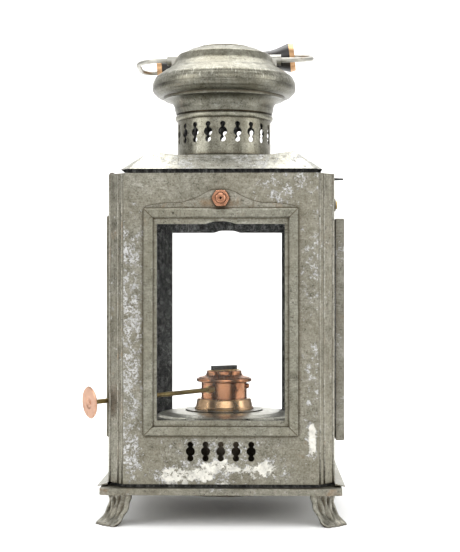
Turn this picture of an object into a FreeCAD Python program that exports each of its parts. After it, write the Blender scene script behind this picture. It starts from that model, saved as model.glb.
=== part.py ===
import FreeCAD, Part
import math
import os
import Sketcher

# Square tinned-sheet oil lantern. Millimetres, +Z up, front face towards -Y,
# origin on the ground under the axis of the case.

DIMENSIONS = {
    # case
    "body_half": 71.5, "corner_cut": 10.6, "body_low": 25.6, "body_high": 220.1, "sheet": 1.0,
    "solder_gap": 0.1, "post_return": 4.0, "deck_hole_half": 62.6,
    # base
    "plate_half": 75.6, "plate_top": 23.4, "plate_low": 19.3, "plate_corner": 1.5, "seat_width": 4.0,
    "apron_reach": 6.4, "apron_top": 25.5, "apron_low": 23.5, "apron_edge": 0.6,
    "foot_reach": 93.0, "foot_splay": 10.0, "foot_width": 23.5, "foot_toe_width": 19.0,
    "foot_thick": 4.6, "foot_toe_thick": 7.0,
    # windows
    "frame_width": 96.5, "frame_height": 142.0, "frame_member": 5.8, "frame_proud": 2.8,
    "frame_bevel": 0.7, "lip_across": 2.5, "lip_up": 3.9, "notch_half": 9.3, "notch_rise": 1.9,
    "front_frame_low": 55.8, "left_frame_low": 52.5, "door_frame_low": 50.6,
    "rear_frame_low": 49.6, "rear_frame_height": 148.2, "cutout_play": 1.5,
    "glass_thick": 2.0, "glass_play": 0.5, "guide_outside": 2.5, "guide_inside": 3.0,
    "brace_inset": 1.0, "brace_end": 1.2, "brace_shoulder": 3.4, "brace_rise": 12.0,
    "brace_neck": 9.2, "brace_thick": 0.8, "nut_above_frame": 6.3,
    "nut_corners": 5.8, "nut_thick": 3.6, "nut_bolt_radius": 3.2, "nut_bolt_length": 1.4,
    # vents
    "vent_pitch": 9.5, "vent_middle": 46.1, "vent_spread": 4.3, "vent_top_lobe": 1.9,
    "vent_mid_lobe": 2.9, "vent_low_lobe": 2.0, "vent_neck": 1.15,
    # door
    "door_gap": 1.5, "door_thick": 5.5, "door_glass_thick": 1.5, "door_tab_half": 8.0,
    "door_tab_rise": 4.0, "barrel_radius": 2.2, "barrel_proud": 0.5, "pin_radius": 1.2,
    "pin_play": 0.05, "pin_head": 1.9, "pin_head_thick": 0.9, "hinge_length": 18.0,
    "hinge_inset": 14.0, "hinge_offset": 51.2, "leaf_thick": 0.7, "wall_leaf_width": 8.5,
    "door_leaf_width": 8.0, "knuckle_gap": 0.3,
    # door latch
    "latch_height": 204.0, "latch_gap": 0.4, "latch_thick": 1.0, "latch_reach": 10.6,
    "latch_tail": 1.0, "latch_half_width": 2.6, "latch_hub": 4.2, "latch_stem": 1.5,
    "latch_play": 0.05, "latch_spacer": 3.0, "latch_head": 2.8, "latch_head_thick": 0.9,
    # lid
    "eave_half": 64.0, "eave_cut": 5.5, "eave_height": 223.4, "deck_half": 46.5, "corner_peak": 236.3,
    "deck_height": 233.5, "deck_flat": 29.0, "roof_sheet": 1.3, "roof_hole": 30.6, "curb_half": 61.4,
    "curb_low": 212.0, "curb_height": 16.0, "lid_axis_reach": 73.9, "lid_axis_height": 222.6,
    "lid_hinge_length": 40.0, "lid_leaf_drop": 9.0, "tab_reach": 80.5, "tab_width": 15.0,
    "tab_tip": 6.0, "tab_taper": 4.0, "tab_round": 0.6, "tab_low": 220.9, "tab_thick": 1.2,
    # chimney
    "collar_radius": 31.5, "collar_sheet": 0.8, "collar_top": 266.0, "collar_flange": 36.5,
    "collar_fillet": 1.8, "collar_holes": 20.0, "collar_vent_middle": 251.0, "collar_spread": 4.9,
    "collar_top_lobe": 1.75, "collar_mid_lobe": 2.9, "collar_low_lobe": 1.9, "collar_neck": 1.1,
    "band_low": 260.4, "band_high": 264.4, "band_lip": 0.4, "band_proud": 1.2, "crown_sheet": 0.9,
    "cap_radius": 18.4, "cap_top": 311.0, "cap_low": 309.6, "cap_edge": 1.0, "cap_leg": 1.6,
    "cap_leg_inset": 2.4,
    # bail
    "bail_pivot": 302.5, "bail_reach": 60.0, "bail_depth": 50.0, "wire_radius": 1.6,
    "bail_left_angle": -0.8, "bail_right_angle": 11.9, "bail_first_bend": 21.0,
    "bail_second_bend": 9.5, "wire_start": 33.9, "ear_start": 27.0, "ear_end": 38.5,
    "ear_radius": 3.6, "ear_foot": 35.5, "ear_foot_drop": 8.0, "ear_play": 0.06,
    "grip_length": 98.0, "grip_end": 10.3, "grip_shoulder": 8.9, "grip_waist": 6.7, "grip_flare": 17.0,
    "grip_flare_start": 8.0, "grip_play": 0.02, "ferrule_thick": 3.6, "ferrule_bevel": 0.8,
    # fount and burner
    "fount_radius": 45.0, "fount_low": 13.5, "fount_shoulder": 61.8, "fount_sheet": 1.0,
    "fount_floor_rise": 1.2, "fount_play": 0.6, "neck_radius": 26.0, "neck_width": 6.0, "neck_low": 65.6,
    "fount_top": 66.4, "ring_wall": 1.2, "ring_height": 7.0,
    "burner_foot": 19.1, "burner_foot_top": 18.3, "burner_wall": 4.5, "gallery_low": 73.5,
    "gallery_radius": 15.4, "gallery_wall": 0.9, "gallery_floor": 3.0, "gallery_high": 84.4,
    "rim_radius": 17.6, "rim_top": 88.2, "cone_low_radius": 13.2, "cone_high_radius": 11.9,
    "cone_edge": 0.7, "cone_top": 92.3, "cone_play": 0.1,
    "wick_width": 19.0, "wick_thick": 3.0, "wick_top": 95.5, "wick_low": 24.0, "tube_play": 0.4,
    "tube_wall": 0.8, "tube_proud": 0.4, "tube_drop": 4.0,
    # wick raiser
    "spindle_turn": 32.7, "spindle_drop": 3.0, "spindle_side": 6.5, "spindle_height": 81.0,
    "spindle_radius": 1.5, "spindle_inner": 11.0, "spindle_outer": 101.0, "spindle_hole": 3.15,
    "star_radius": 4.6, "star_root": 3.3, "star_teeth": 10.0, "star_thick": 1.6, "star_space": 10.0,
    "star_slot_play": 0.6, "star_slot_back": 1.0, "star_slot_front": 5.2,
    "knob_radius": 10.3, "knob_thick": 1.6, "knob_boss": 3.2, "knob_boss_length": 1.5,
    "knob_edge": 0.8, "knob_dish": 4.2, "knob_dish_floor": 3.0, "knob_dish_depth": 0.4,
    "knob_rivet": 1.6, "knob_rivet_rise": 0.8, "bush_radius": 2.5, "bush_length": 4.5,
    "bush_play": 0.06, "bush_sunk": 0.6,
}

# Chains of (radius, height) points from the outside in; a third number is the rise of an arc that
# leads to the point.
CROWN_PAN_PROFILE = [(32.4, 265.0), (33.4, 268.2), (40.4, 275.0, 2.2), (40.9, 276.8), (46.6, 279.0, -1.0),
                     (48.3, 283.4, -0.8)]
CROWN_DOME_PROFILE = [(48.3, 283.5), (47.2, 288.2, -0.5), (44.2, 291.5, -0.5), (40.0, 294.6),
                      (35.2, 298.2, 0.35), (32.8, 301.4, 0.3), (31.6, 304.4), (29.7, 305.6, -0.4),
                      (23.6, 308.7), (13.0, 308.7)]

# Sections of a foot from the plate down: share of its height, of its splay, of the narrowing to the
# toe and of the thickening to the toe.
FOOT_SECTIONS = [(1.0, 0.0, 0.0, 0.0), (0.72, 0.05, 0.1, 0.0), (0.42, 0.28, 0.45, 0.1),
                 (0.16, 0.68, 0.85, 0.35), (0.0, 1.0, 1.0, 1.0)]

SIDES = {"front": 0, "right": 90, "rear": 180, "left": 270}
CORNERS = {"front_left": (-1, -1), "front_right": (1, -1), "rear_left": (-1, 1), "rear_right": (1, 1)}

doc = FreeCAD.newDocument("Lantern")
sheet = doc.addObject("Spreadsheet::Sheet", "Sizes")


class Size:
    """A length that carries its number and the spreadsheet formula that gives it."""

    def __init__(self, value, text):
        self.value = float(value)
        self.text = text

    def __add__(self, other):
        other = as_size(other)
        return Size(self.value + other.value, f"({self.text} + {other.text})")

    def __sub__(self, other):
        other = as_size(other)
        return Size(self.value - other.value, f"({self.text} - {other.text})")

    def __mul__(self, factor):
        other = as_size(factor)
        return Size(self.value * other.value, f"({self.text} * {other.text})")

    def __truediv__(self, factor):
        return self * (1 / factor)

    def __neg__(self):
        return Size(-self.value, f"(-1 * {self.text})")

    __radd__ = __add__
    __rmul__ = __mul__

    def __rsub__(self, other):
        return as_size(other) - self


def as_size(value):
    if isinstance(value, Size):
        return value
    return Size(value, f"({value:.9g})")


class Sizes:
    """The spreadsheet's aliases as attributes."""

    def __init__(self, dimensions):
        for row, (alias, value) in enumerate(dimensions.items(), 1):
            sheet.set(f"A{row}", alias)
            sheet.set(f"B{row}", str(value))
            sheet.setAlias(f"B{row}", alias)
            setattr(self, alias, Size(value, f"Sizes.{alias}"))


d = Sizes(DIMENSIONS)
doc.recompute()
SUBPARTS = []


def bind(obj, prop, size):
    obj.setExpression(prop, as_size(size).text)


def subpart(obj, label):
    """Marks a finished object as a sub-part that is exported under its label."""
    obj.Label = label
    SUBPARTS.append(obj)
    return obj


def place(obj, x=0, y=0, z=0, turn=0):
    """Binds an object's position, and turns it about +Z in degrees."""
    obj.Placement = FreeCAD.Placement(FreeCAD.Vector(), FreeCAD.Rotation(FreeCAD.Vector(0, 0, 1), turn))
    for axis, size in zip("xyz", (x, y, z)):
        bind(obj, f"Placement.Base.{axis}", size)
    return obj


# ---- sketches -------------------------------------------------------------

def new_body(name):
    return doc.addObject("PartDesign::Body", name)


def plane_of(body, role):
    return next(f for f in body.Origin.OriginFeatures if f.Role == role)


def new_sketch(body, name, role, offset):
    """A sketch on one of the body's own planes, moved along the plane's normal."""
    sketch = body.newObject("Sketcher::SketchObject", name)
    sketch.AttachmentSupport = [(plane_of(body, role), "")]
    sketch.MapMode = "FlatFace"
    bind(sketch, "AttachmentOffset.Base.z", offset)
    return sketch


def vector(point):
    return FreeCAD.Vector(as_size(point[0]).value, as_size(point[1]).value, 0)


def pin_point(sketch, index, end, point):
    """Fixes one end of a sketch element to bound coordinates."""
    for kind, size in zip(("DistanceX", "DistanceY"), point):
        size = as_size(size)
        number = sketch.addConstraint(Sketcher.Constraint(kind, -1, 1, index, end, size.value))
        sketch.setExpression(f"Constraints[{number}]", size.text)


def bound_circle(sketch, radius, centre):
    """A full circle whose radius and centre follow the sheet."""
    index = sketch.addGeometry(Part.Circle(vector(centre), FreeCAD.Vector(0, 0, 1), radius.value), False)
    pin_point(sketch, index, 3, centre)
    number = sketch.addConstraint(Sketcher.Constraint("Radius", index, radius.value))
    sketch.setExpression(f"Constraints[{number}]", radius.text)


def outline(sketch, points):
    """Draws and fully constrains one closed outline.

    A point is (x, y), or (x, y, bulge) when an arc of that rise leads to it.
    A lone Size is a circle of that radius about the origin.
    """
    if isinstance(points, Size):
        bound_circle(sketch, points, (0, 0))
        return
    for here, after in zip(points, points[1:] + points[:1]):
        start, end = vector(here), vector(after)
        if len(after) == 3:
            run = end - start
            left = FreeCAD.Vector(-run.y, run.x, 0).normalize()
            curve = Part.Arc(start, (start + end) * 0.5 + left * after[2], end)
        else:
            curve = Part.LineSegment(start, end)
        index = sketch.addGeometry(curve, False)
        # A sketch counts an arc's ends anticlockwise, so a clockwise arc starts at its second end.
        clockwise = len(after) == 3 and after[2] > 0
        first, last = (2, 1) if clockwise else (1, 2)
        pin_point(sketch, index, first, here[:2])
        pin_point(sketch, index, last, after[:2])
        if len(after) == 3:
            middle = sketch.Geometry[index].Center
            flat = abs(end.x - start.x) > abs(end.y - start.y)
            kind, centre = ("DistanceY", middle.y) if flat else ("DistanceX", middle.x)
            sketch.addConstraint(Sketcher.Constraint(kind, -1, 1, index, 3, centre))


def rectangle(x0, x1, y0, y1):
    return [(x0, y0), (x1, y0), (x1, y1), (x0, y1)]


def pad(body, name, role, offset, length, *outlines):
    """Pads a sketch of one outer outline and any holes, away from the plane."""
    sketch = new_sketch(body, name + "_sketch", role, offset)
    for points in outlines:
        outline(sketch, points)
    feature = body.newObject("PartDesign::Pad", name)
    feature.Profile = sketch
    bind(feature, "Length", length)
    sketch.Visibility = False
    doc.recompute()
    return feature


def plate(name, role, offset, length, *outlines):
    body = new_body(name)
    pad(body, name + "_pad", role, offset, length, *outlines)
    return body


def turned(name, points, axis="V_Axis"):
    """A body of revolution from one closed outline of (radius, height) points."""
    body = new_body(name)
    sketch = new_sketch(body, name + "_sketch", "XZ_Plane", as_size(0))
    outline(sketch, points)
    feature = body.newObject("PartDesign::Revolution", name + "_turned")
    feature.Profile = sketch
    feature.ReferenceAxis = (sketch, [axis])
    feature.Angle = 360.0
    doc.recompute()
    return body


def sheet_outline(points, thickness):
    """Closes a chain of outer (radius, height[, bulge]) points with its inner offset."""
    flat = [vector(p) for p in points]
    normals = []
    for number in range(1, len(points)):
        run = flat[number] - flat[number - 1]
        left = FreeCAD.Vector(-run.y, run.x, 0).normalize()
        if len(points[number]) == 3:
            sag = points[number][2]
            lean = math.degrees(2 * math.atan2(sag, run.Length / 2))
            spin = [FreeCAD.Rotation(FreeCAD.Vector(0, 0, 1), angle) for angle in (lean, -lean)]
            normals.append([s.multVec(left) for s in spin])
        else:
            normals.append([left, left])
    inner = []
    for number, point in enumerate(points):
        before = normals[max(number - 1, 0)][1 if number else 0]
        behind = normals[min(number, len(normals) - 1)][0 if number < len(normals) else 1]
        mitre = (before + behind) * (1.0 / (1.0 + before.dot(behind)))
        inner.append((point[0] + thickness * mitre.x, point[1] + thickness * mitre.y))
    closed = list(points)
    closed[0] = closed[0][:2]
    for number in range(len(points) - 1, -1, -1):
        came_from = points[number + 1] if number + 1 < len(points) else None
        if came_from is not None and len(came_from) == 3:
            chord_out = (flat[number + 1] - flat[number]).Length
            a, b = vector(inner[number + 1]), vector(inner[number])
            scale = (a - b).Length / chord_out
            closed.append((*inner[number], -came_from[2] * scale))
        else:
            closed.append(inner[number])
    return closed


# ---- primitives and booleans ----------------------------------------------

def block(name, x0, x1, y0, y1, z0, z1):
    box = doc.addObject("Part::Box", name)
    for prop, low, high in (("Length", x0, x1), ("Width", y0, y1), ("Height", z0, z1)):
        bind(box, prop, as_size(high) - as_size(low))
    return place(box, x0, y0, z0)


TURNS = {"X": (0, 1, 0, 90), "Y": (1, 0, 0, -90), "Z": (0, 0, 1, 0)}


def rod(name, radius, length, x, y, z, along="Z"):
    cylinder = doc.addObject("Part::Cylinder", name)
    bind(cylinder, "Radius", radius)
    bind(cylinder, "Height", length)
    *axis, angle = TURNS[along]
    cylinder.Placement = FreeCAD.Placement(
        FreeCAD.Vector(), FreeCAD.Rotation(FreeCAD.Vector(*axis), angle))
    for letter, size in zip("xyz", (x, y, z)):
        bind(cylinder, f"Placement.Base.{letter}", size)
    return cylinder


def cut(name, base, tool):
    result = doc.addObject("Part::Cut", name)
    result.Base, result.Tool = base, tool
    return result


def fuse(name, shapes):
    result = doc.addObject("Part::MultiFuse", name)
    result.Shapes = shapes
    return result


def group(name, shapes):
    """Several separate solids that share one node."""
    result = doc.addObject("Part::Compound", name)
    result.Links = shapes
    return result


def solid_feature(name, shape):
    feature = doc.addObject("Part::Feature", name)
    feature.Shape = shape
    return feature


# ---- case -----------------------------------------------------------------

def keyhole(x, middle, spread, top, mid, low, neck):
    """Three stacked round lobes joined by two necks, as one closed outline."""
    def half_chord(radius):
        return as_size(math.sqrt(radius.value ** 2 - neck.value ** 2))
    top_z, low_z = middle + spread, middle - spread
    mid_c = half_chord(mid)
    wide = mid.value - neck.value
    return [
        (x + neck, top_z - half_chord(top)),
        (x - neck, top_z - half_chord(top), -(top.value + half_chord(top).value)),
        (x - neck, middle + mid_c),
        (x - neck, middle - mid_c, -wide),
        (x - neck, low_z + half_chord(low)),
        (x + neck, low_z + half_chord(low), -(low.value + half_chord(low).value)),
        (x + neck, middle - mid_c),
        (x + neck, middle + mid_c, -wide),
    ]


# The lower and upper end of each window's frame; the right one is the door.
WINDOWS = {
    "front": (d.front_frame_low, d.front_frame_low + d.frame_height),
    "left": (d.left_frame_low, d.left_frame_low + d.frame_height),
    "rear": (d.rear_frame_low, d.rear_frame_low + d.rear_frame_height),
    "right": (d.door_frame_low, d.door_frame_low + d.frame_height),
}
FIXED_WINDOWS = ("front", "left", "rear")


def window_cutout(low, high):
    half = d.frame_width / 2 - d.frame_member - d.lip_across + d.cutout_play
    edge = d.frame_member + d.lip_up - d.cutout_play
    return rectangle(-half, half, low + edge, high - edge)


def make_walls():
    flat = d.body_half - d.corner_cut
    for side, turn in SIDES.items():
        holes = [window_cutout(*WINDOWS[side])]
        if side == "front":
            for number in range(-2, 3):
                holes.append(keyhole(d.vent_pitch * number, d.vent_middle, d.vent_spread, d.vent_top_lobe,
                                     d.vent_mid_lobe, d.vent_low_lobe, d.vent_neck))
        wall = plate(f"wall_{side}_body", "XZ_Plane", d.body_half - d.sheet, d.sheet,
                     rectangle(-flat, flat, d.body_low, d.body_high), *holes)
        if side == "left":
            sketch = new_sketch(wall, "spindle_hole_sketch", "XZ_Plane", d.body_half)
            centre = spindle_point(d.body_half.value)
            bound_circle(sketch, d.spindle_hole, (-centre.y, centre.z))
            pocket = wall.newObject("PartDesign::Pocket", "spindle_hole")
            pocket.Profile = sketch
            pocket.Type = "ThroughAll"
            pocket.Midplane = True
            doc.recompute()
        subpart(place(wall, turn=turn), f"wall_{side}")


def make_corner_posts():
    """Folded corner strips that hook behind the two walls they join."""
    outer, sheet_ = d.body_half, d.sheet
    corner = outer - d.corner_cut
    inner = outer - sheet_ * 2
    hook = corner - d.post_return
    inner_corner = corner + sheet_ * 0.4
    for name, (sx, sy) in CORNERS.items():
        points = [(corner, outer), (outer, corner), (outer - sheet_, corner), (outer - sheet_, hook),
                  (inner, hook), (inner, inner_corner), (inner_corner, inner), (hook, inner),
                  (hook, outer - sheet_), (corner, outer - sheet_)]
        post = plate(f"post_{name}_body", "XY_Plane", d.body_low, d.body_high - d.body_low,
                     [(x * sx, y * sy) for x, y in points])
        subpart(post, f"corner_post_{name}")


def octagon(half, corner):
    edge = half - corner
    return [(edge, -half), (half, -edge), (half, edge), (edge, half),
            (-edge, half), (-half, edge), (-half, -edge), (-edge, -half)]


def make_top_deck():
    inner = d.body_half - d.sheet * 2 - d.solder_gap
    deck = plate("top_deck_body", "XY_Plane", d.body_high - d.sheet, d.sheet,
                 octagon(inner, d.corner_cut - d.sheet / 2), octagon(d.deck_hole_half, d.eave_cut))
    subpart(deck, "top_deck")


def make_base():
    """The plate with its turned-down flange, the seat under the case, the aprons and the fount's ring."""
    hole = d.fount_radius + d.fount_play
    edge = octagon(d.plate_half, d.plate_corner)
    base = plate("base_plate_body", "XY_Plane", d.plate_top - d.sheet, d.sheet, edge, hole)
    pad(base, "base_flange", "XY_Plane", d.plate_low, d.plate_top - d.plate_low - d.sheet / 2,
        edge, octagon(d.plate_half - d.sheet, d.plate_corner))
    subpart(base, "base_plate")

    rail = d.body_half - d.sheet * 2 - d.solder_gap
    seat = plate("case_seat_body", "XY_Plane", d.plate_top, d.body_low - d.plate_top,
                 octagon(rail, d.corner_cut), octagon(rail - d.seat_width, d.corner_cut - d.seat_width / 2))
    subpart(seat, "case_seat")

    aprons = []
    flat = d.body_half - d.corner_cut / 2
    for side, sign in (("left", -1), ("right", 1)):
        root, tip = d.body_half * sign, (d.body_half + d.apron_reach) * sign
        wedge = [(root, d.apron_top), (root, d.apron_top - d.sheet), (tip, d.apron_low),
                 (tip, d.apron_low + d.apron_edge)]
        aprons.append(plate(f"apron_{side}_body", "XZ_Plane", -flat, flat * 2, wedge))
    subpart(group("side_aprons_group", aprons), "side_aprons")

    ring = turned("fount_ring_body",
                  rectangle(hole, hole + d.ring_wall, d.plate_top, d.plate_top + d.ring_height))
    subpart(ring, "fount_ring")


def foot_section(width, thick, reach, height):
    """One level ellipse of a foot, its long side across the diagonal."""
    centre = FreeCAD.Vector(reach, 0, height)
    side = FreeCAD.Vector(0, width / 2, 0)
    front = FreeCAD.Vector(thick / 2, 0, 0)
    return Part.Wire(Part.Ellipse(centre + side, centre + front, centre).toShape())


def make_feet():
    sections = []
    for height, splay, narrow, swell in FOOT_SECTIONS:
        width = d.foot_width + (d.foot_toe_width - d.foot_width) * narrow
        thick = d.foot_thick + (d.foot_toe_thick - d.foot_thick) * swell
        reach = d.foot_reach + d.foot_splay * splay
        sections.append(foot_section(width.value, thick.value, reach.value, d.plate_low.value * height))
    shape = Part.makeLoft(sections, True, False)
    for corner, (sx, sy) in CORNERS.items():
        foot = solid_feature(f"foot_{corner}_body", shape)
        turn = FreeCAD.Rotation(FreeCAD.Vector(0, 0, 1), math.degrees(math.atan2(sy, sx)))
        foot.Placement = FreeCAD.Placement(FreeCAD.Vector(), turn)
        subpart(foot, f"foot_{corner}")


# ---- windows --------------------------------------------------------------

def frame_rings(low, high):
    """Outlines of a window frame: outside, inside of its face, and its lip with a thumb notch on top."""
    half = d.frame_width / 2
    m, across, up = d.frame_member, d.frame_member + d.lip_across, d.frame_member + d.lip_up
    outer = rectangle(-half, half, low, high)
    face = rectangle(-half + m, half - m, low + m, high - m)
    lip_half, lip_top, notch = half - across, high - up, d.notch_half
    lip = [(-lip_half, low + up), (lip_half, low + up), (lip_half, lip_top), (notch, lip_top),
           (-notch, lip_top, -d.notch_rise.value), (-lip_half, lip_top)]
    return outer, face, lip


def bevel_front(body, depth):
    """Chamfers the edges of a frame's front face."""
    names = []
    for number, edge in enumerate(body.Shape.Edges, 1):
        box = edge.BoundBox
        if max(abs(box.YMin + depth.value), abs(box.YMax + depth.value)) < 1e-4:
            names.append(f"Edge{number}")
    base = body.Tip
    chamfer = body.newObject("PartDesign::Chamfer", body.Name + "_bevel")
    chamfer.Base = (base, names)
    bind(chamfer, "Size", d.frame_bevel)
    body.Tip = chamfer
    doc.recompute()


def make_frames():
    for side in FIXED_WINDOWS:
        low, high = WINDOWS[side]
        outer, face, lip = frame_rings(low, high)
        frame = plate(f"frame_{side}_body", "XZ_Plane", d.body_half, d.frame_proud, outer, face)
        pad(frame, f"frame_{side}_lip", "XZ_Plane", d.body_half, d.sheet, outer, lip)
        bevel_front(frame, d.body_half + d.frame_proud)
        subpart(place(frame, turn=SIDES[side]), f"window_frame_{side}")
        glass_low, glass_high = low + d.frame_member, high - d.frame_member
        half = d.frame_width / 2 - d.frame_member + d.glass_play
        pane = plate(f"glass_{side}_body", "XZ_Plane", d.body_half - d.sheet - d.glass_thick, d.glass_thick,
                     rectangle(-half, half, glass_low, glass_high))
        subpart(place(pane, turn=SIDES[side]), f"glass_{side}")


def make_glass_guides():
    """Folded channels soldered inside each fixed window: two upright, one along the bottom."""
    guides = []
    face = d.body_half - d.sheet
    back = face - d.glass_thick - d.solder_gap
    half = d.frame_width / 2 - d.frame_member + d.glass_play + d.solder_gap
    outer, inner = half + d.guide_outside, half - d.guide_inside
    for side in FIXED_WINDOWS:
        low, high = WINDOWS[side]
        bottom = low + d.frame_member - d.solder_gap
        top = high - d.frame_member
        for sign in (-1, 1):
            points = [(half, face), (outer, face), (outer, back - d.sheet), (inner, back - d.sheet),
                      (inner, back), (half, back)]
            channel = plate(f"guide_{side}_{sign + 1}", "XY_Plane", bottom, top - bottom,
                            [(x * sign, -y) for x, y in points])
            guides.append(place(channel, turn=SIDES[side]))
        ledge_half = inner - d.solder_gap * 2
        ledge = plate(f"ledge_{side}", "XZ_Plane", back - d.sheet, face - back + d.sheet,
                      rectangle(-ledge_half, ledge_half, bottom - d.sheet, bottom))
        guides.append(place(ledge, turn=SIDES[side]))
    subpart(group("glass_guides_group", guides), "glass_guides")


def brace_outline(base):
    """A plate above the window whose top edge sweeps up from both ends to the fastener."""
    end = d.frame_width / 2 - d.brace_inset
    knee, knee_z = end * 0.55, base + d.brace_shoulder
    neck, neck_z = d.brace_neck, base + d.brace_rise - 2
    return [(-end, base), (end, base), (end, base + d.brace_end), (knee, knee_z, -0.8),
            (neck, neck_z, 0.9), (-neck, neck_z, -2.0), (-knee, knee_z, 0.9),
            (-end, base + d.brace_end, -0.8)]


def make_braces_and_nuts():
    braces, nuts = [], []
    for side in FIXED_WINDOWS:
        high = WINDOWS[side][1]
        brace = plate(f"brace_{side}", "XZ_Plane", d.body_half, d.brace_thick, brace_outline(high))
        braces.append(place(brace, turn=SIDES[side]))
        nuts.append(make_cap_nut(f"nut_{side}", d.body_half + d.brace_thick, high + d.nut_above_frame, side))
    subpart(group("window_braces_group", braces), "window_braces")
    subpart(group("cap_nuts_group", nuts), "cap_nuts")


def make_cap_nut(name, seat, height, side):
    """A six-sided nut on the round end of its bolt."""
    flats = doc.addObject("Part::Prism", name + "_flats")
    flats.Polygon = 6
    bind(flats, "Circumradius", d.nut_corners)
    bind(flats, "Height", d.nut_thick)
    flats.Placement = FreeCAD.Placement(
        FreeCAD.Vector(), FreeCAD.Rotation(FreeCAD.Vector(1, 0, 0), 90))
    bind(flats, "Placement.Base.y", -seat)
    bind(flats, "Placement.Base.z", height)
    length = d.nut_thick / 2 + d.nut_bolt_length
    bolt = rod(name + "_bolt", d.nut_bolt_radius, length, as_size(0), -(seat + d.nut_thick / 2 + length),
               height, "Y")
    return place(fuse(name, [flats, bolt]), turn=SIDES[side])


# ---- door -----------------------------------------------------------------

def hinge_starts(low, high):
    return [low + d.hinge_inset, high - d.hinge_inset - d.hinge_length]


def make_door():
    """The door is a frame with a rebate behind it for its pane, and a tab for the turn button."""
    low, high = WINDOWS["right"]
    back = d.body_half + d.door_gap
    outer, face, lip = frame_rings(low, high)
    frame = plate("door_frame_body", "XZ_Plane", back, d.door_thick, outer, face)
    pad(frame, "door_frame_lip", "XZ_Plane", back + d.door_glass_thick, d.sheet, outer, lip)
    pad(frame, "door_frame_tab", "XZ_Plane", back, d.sheet,
        rectangle(-d.door_tab_half, d.door_tab_half, high - d.sheet, high + d.door_tab_rise))
    bevel_front(frame, back + d.door_thick)
    subpart(place(frame, turn=SIDES["right"]), "door_frame")

    edge = d.frame_member + d.solder_gap
    half = d.frame_width / 2 - edge
    pane = plate("door_glass_body", "XZ_Plane", back, d.door_glass_thick,
                 rectangle(-half, half, low + edge, high - edge))
    subpart(place(pane, turn=SIDES["right"]), "door_glass")


def make_door_hinges():
    """Two three-knuckle hinges at the door's rear edge."""
    x, wall = d.hinge_offset, d.body_half
    y = -(wall + d.barrel_radius + d.barrel_proud)
    third, gap = d.hinge_length / 3, d.knuckle_gap
    knuckle = third - gap
    bore = d.pin_radius + d.pin_play
    case_leaves, door_leaves, pins = [], [], []
    for number, start in enumerate(hinge_starts(*WINDOWS["right"])):
        solids = [block(f"wall_leaf_{number}", x, x + d.wall_leaf_width, -(wall + d.leaf_thick), -wall,
                        start, start + d.hinge_length)]
        for end, z in enumerate((start, start + third * 2 + gap)):
            solids.append(rod(f"wall_knuckle_{number}_{end}", d.barrel_radius, knuckle, x, y, z))
            solids.append(block(f"wall_web_{number}_{end}", x, x + d.barrel_radius, y, -wall, z, z + knuckle))
        long_bore = d.hinge_length + d.sheet * 2
        hole = rod(f"wall_bore_{number}", bore, long_bore, x, y, start - d.sheet)
        clear = rod(f"wall_clear_{number}", d.barrel_radius + gap, third + gap, x, y, start + third - gap / 2)
        leaf = cut(f"wall_hinge_{number}", fuse(f"wall_parts_{number}", solids),
                   fuse(f"wall_tool_{number}", [hole, clear]))
        case_leaves.append(place(leaf, turn=SIDES["right"]))

        middle = start + third + gap / 2
        back = wall + d.door_gap
        strap = block(f"door_leaf_{number}", x - d.door_leaf_width, x, -back, -(back - d.leaf_thick),
                      middle, middle + knuckle)
        barrel = rod(f"door_knuckle_{number}", d.barrel_radius, knuckle, x, y, middle)
        hole = rod(f"door_bore_{number}", bore, long_bore, x, y, start - d.sheet)
        leaf = cut(f"door_hinge_{number}", fuse(f"door_parts_{number}", [strap, barrel]), hole)
        door_leaves.append(place(leaf, turn=SIDES["right"]))

        pin = rod(f"hinge_pin_{number}", d.pin_radius, d.hinge_length, x, y, start)
        head = rod(f"hinge_head_{number}", d.pin_head, d.pin_head_thick, x, y, start + d.hinge_length)
        pins.append(place(fuse(f"pin_{number}", [pin, head]), turn=SIDES["right"]))
    subpart(group("door_hinge_leaves_group", case_leaves), "case_hinge_leaves")
    subpart(group("door_hinge_straps_group", door_leaves), "door_hinge_leaves")
    subpart(group("door_hinge_pins_group", pins), "door_hinge_pins")


def make_door_latch():
    """A turn button above the door: its tongue swings down over the door's tab."""
    height, wall, centre = d.latch_height, d.body_half, as_size(0)
    seat = wall + d.door_gap + d.sheet + d.latch_gap
    face = seat + d.latch_thick
    tongue = block("latch_tongue", -d.latch_tail, d.latch_reach, -face, -seat,
                   height - d.latch_half_width, height + d.latch_half_width)
    hub = rod("latch_hub", d.latch_hub, d.latch_thick, centre, -face, height, "Y")
    hole = rod("latch_bore", d.latch_stem + d.latch_play, d.latch_thick * 3, centre,
               -(face + d.latch_thick), height, "Y")
    button = cut("latch_button_cut", fuse("latch_button_parts", [tongue, hub]), hole)
    subpart(place(button, turn=SIDES["right"]), "latch_button")

    spacer = rod("latch_spacer", d.latch_spacer, seat - d.solder_gap - wall, centre,
                 -(seat - d.solder_gap), height, "Y")
    rim = face + d.solder_gap
    stem = rod("latch_stem", d.latch_stem, rim - wall, centre, -rim, height, "Y")
    head = rod("latch_head", d.latch_head, d.latch_head_thick, centre, -(rim + d.latch_head_thick),
               height, "Y")
    subpart(place(fuse("latch_pivot_parts", [spacer, stem, head]), turn=SIDES["right"]), "latch_pivot")


# ---- lid ------------------------------------------------------------------

def roof_shell_points(grow):
    """Corner points of the roof, moved inwards and down by grow."""
    eave, peak, deck = d.eave_half.value - grow, d.deck_half.value - grow * 0.35, d.deck_height.value - grow
    tip = d.corner_peak.value - grow
    edge = eave - d.eave_cut.value
    slope = (tip - d.eave_height.value) / (eave - peak)
    fold = eave - (deck - d.eave_height.value) / slope
    return eave, edge, peak, tip, deck, fold, d.deck_flat.value


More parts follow.
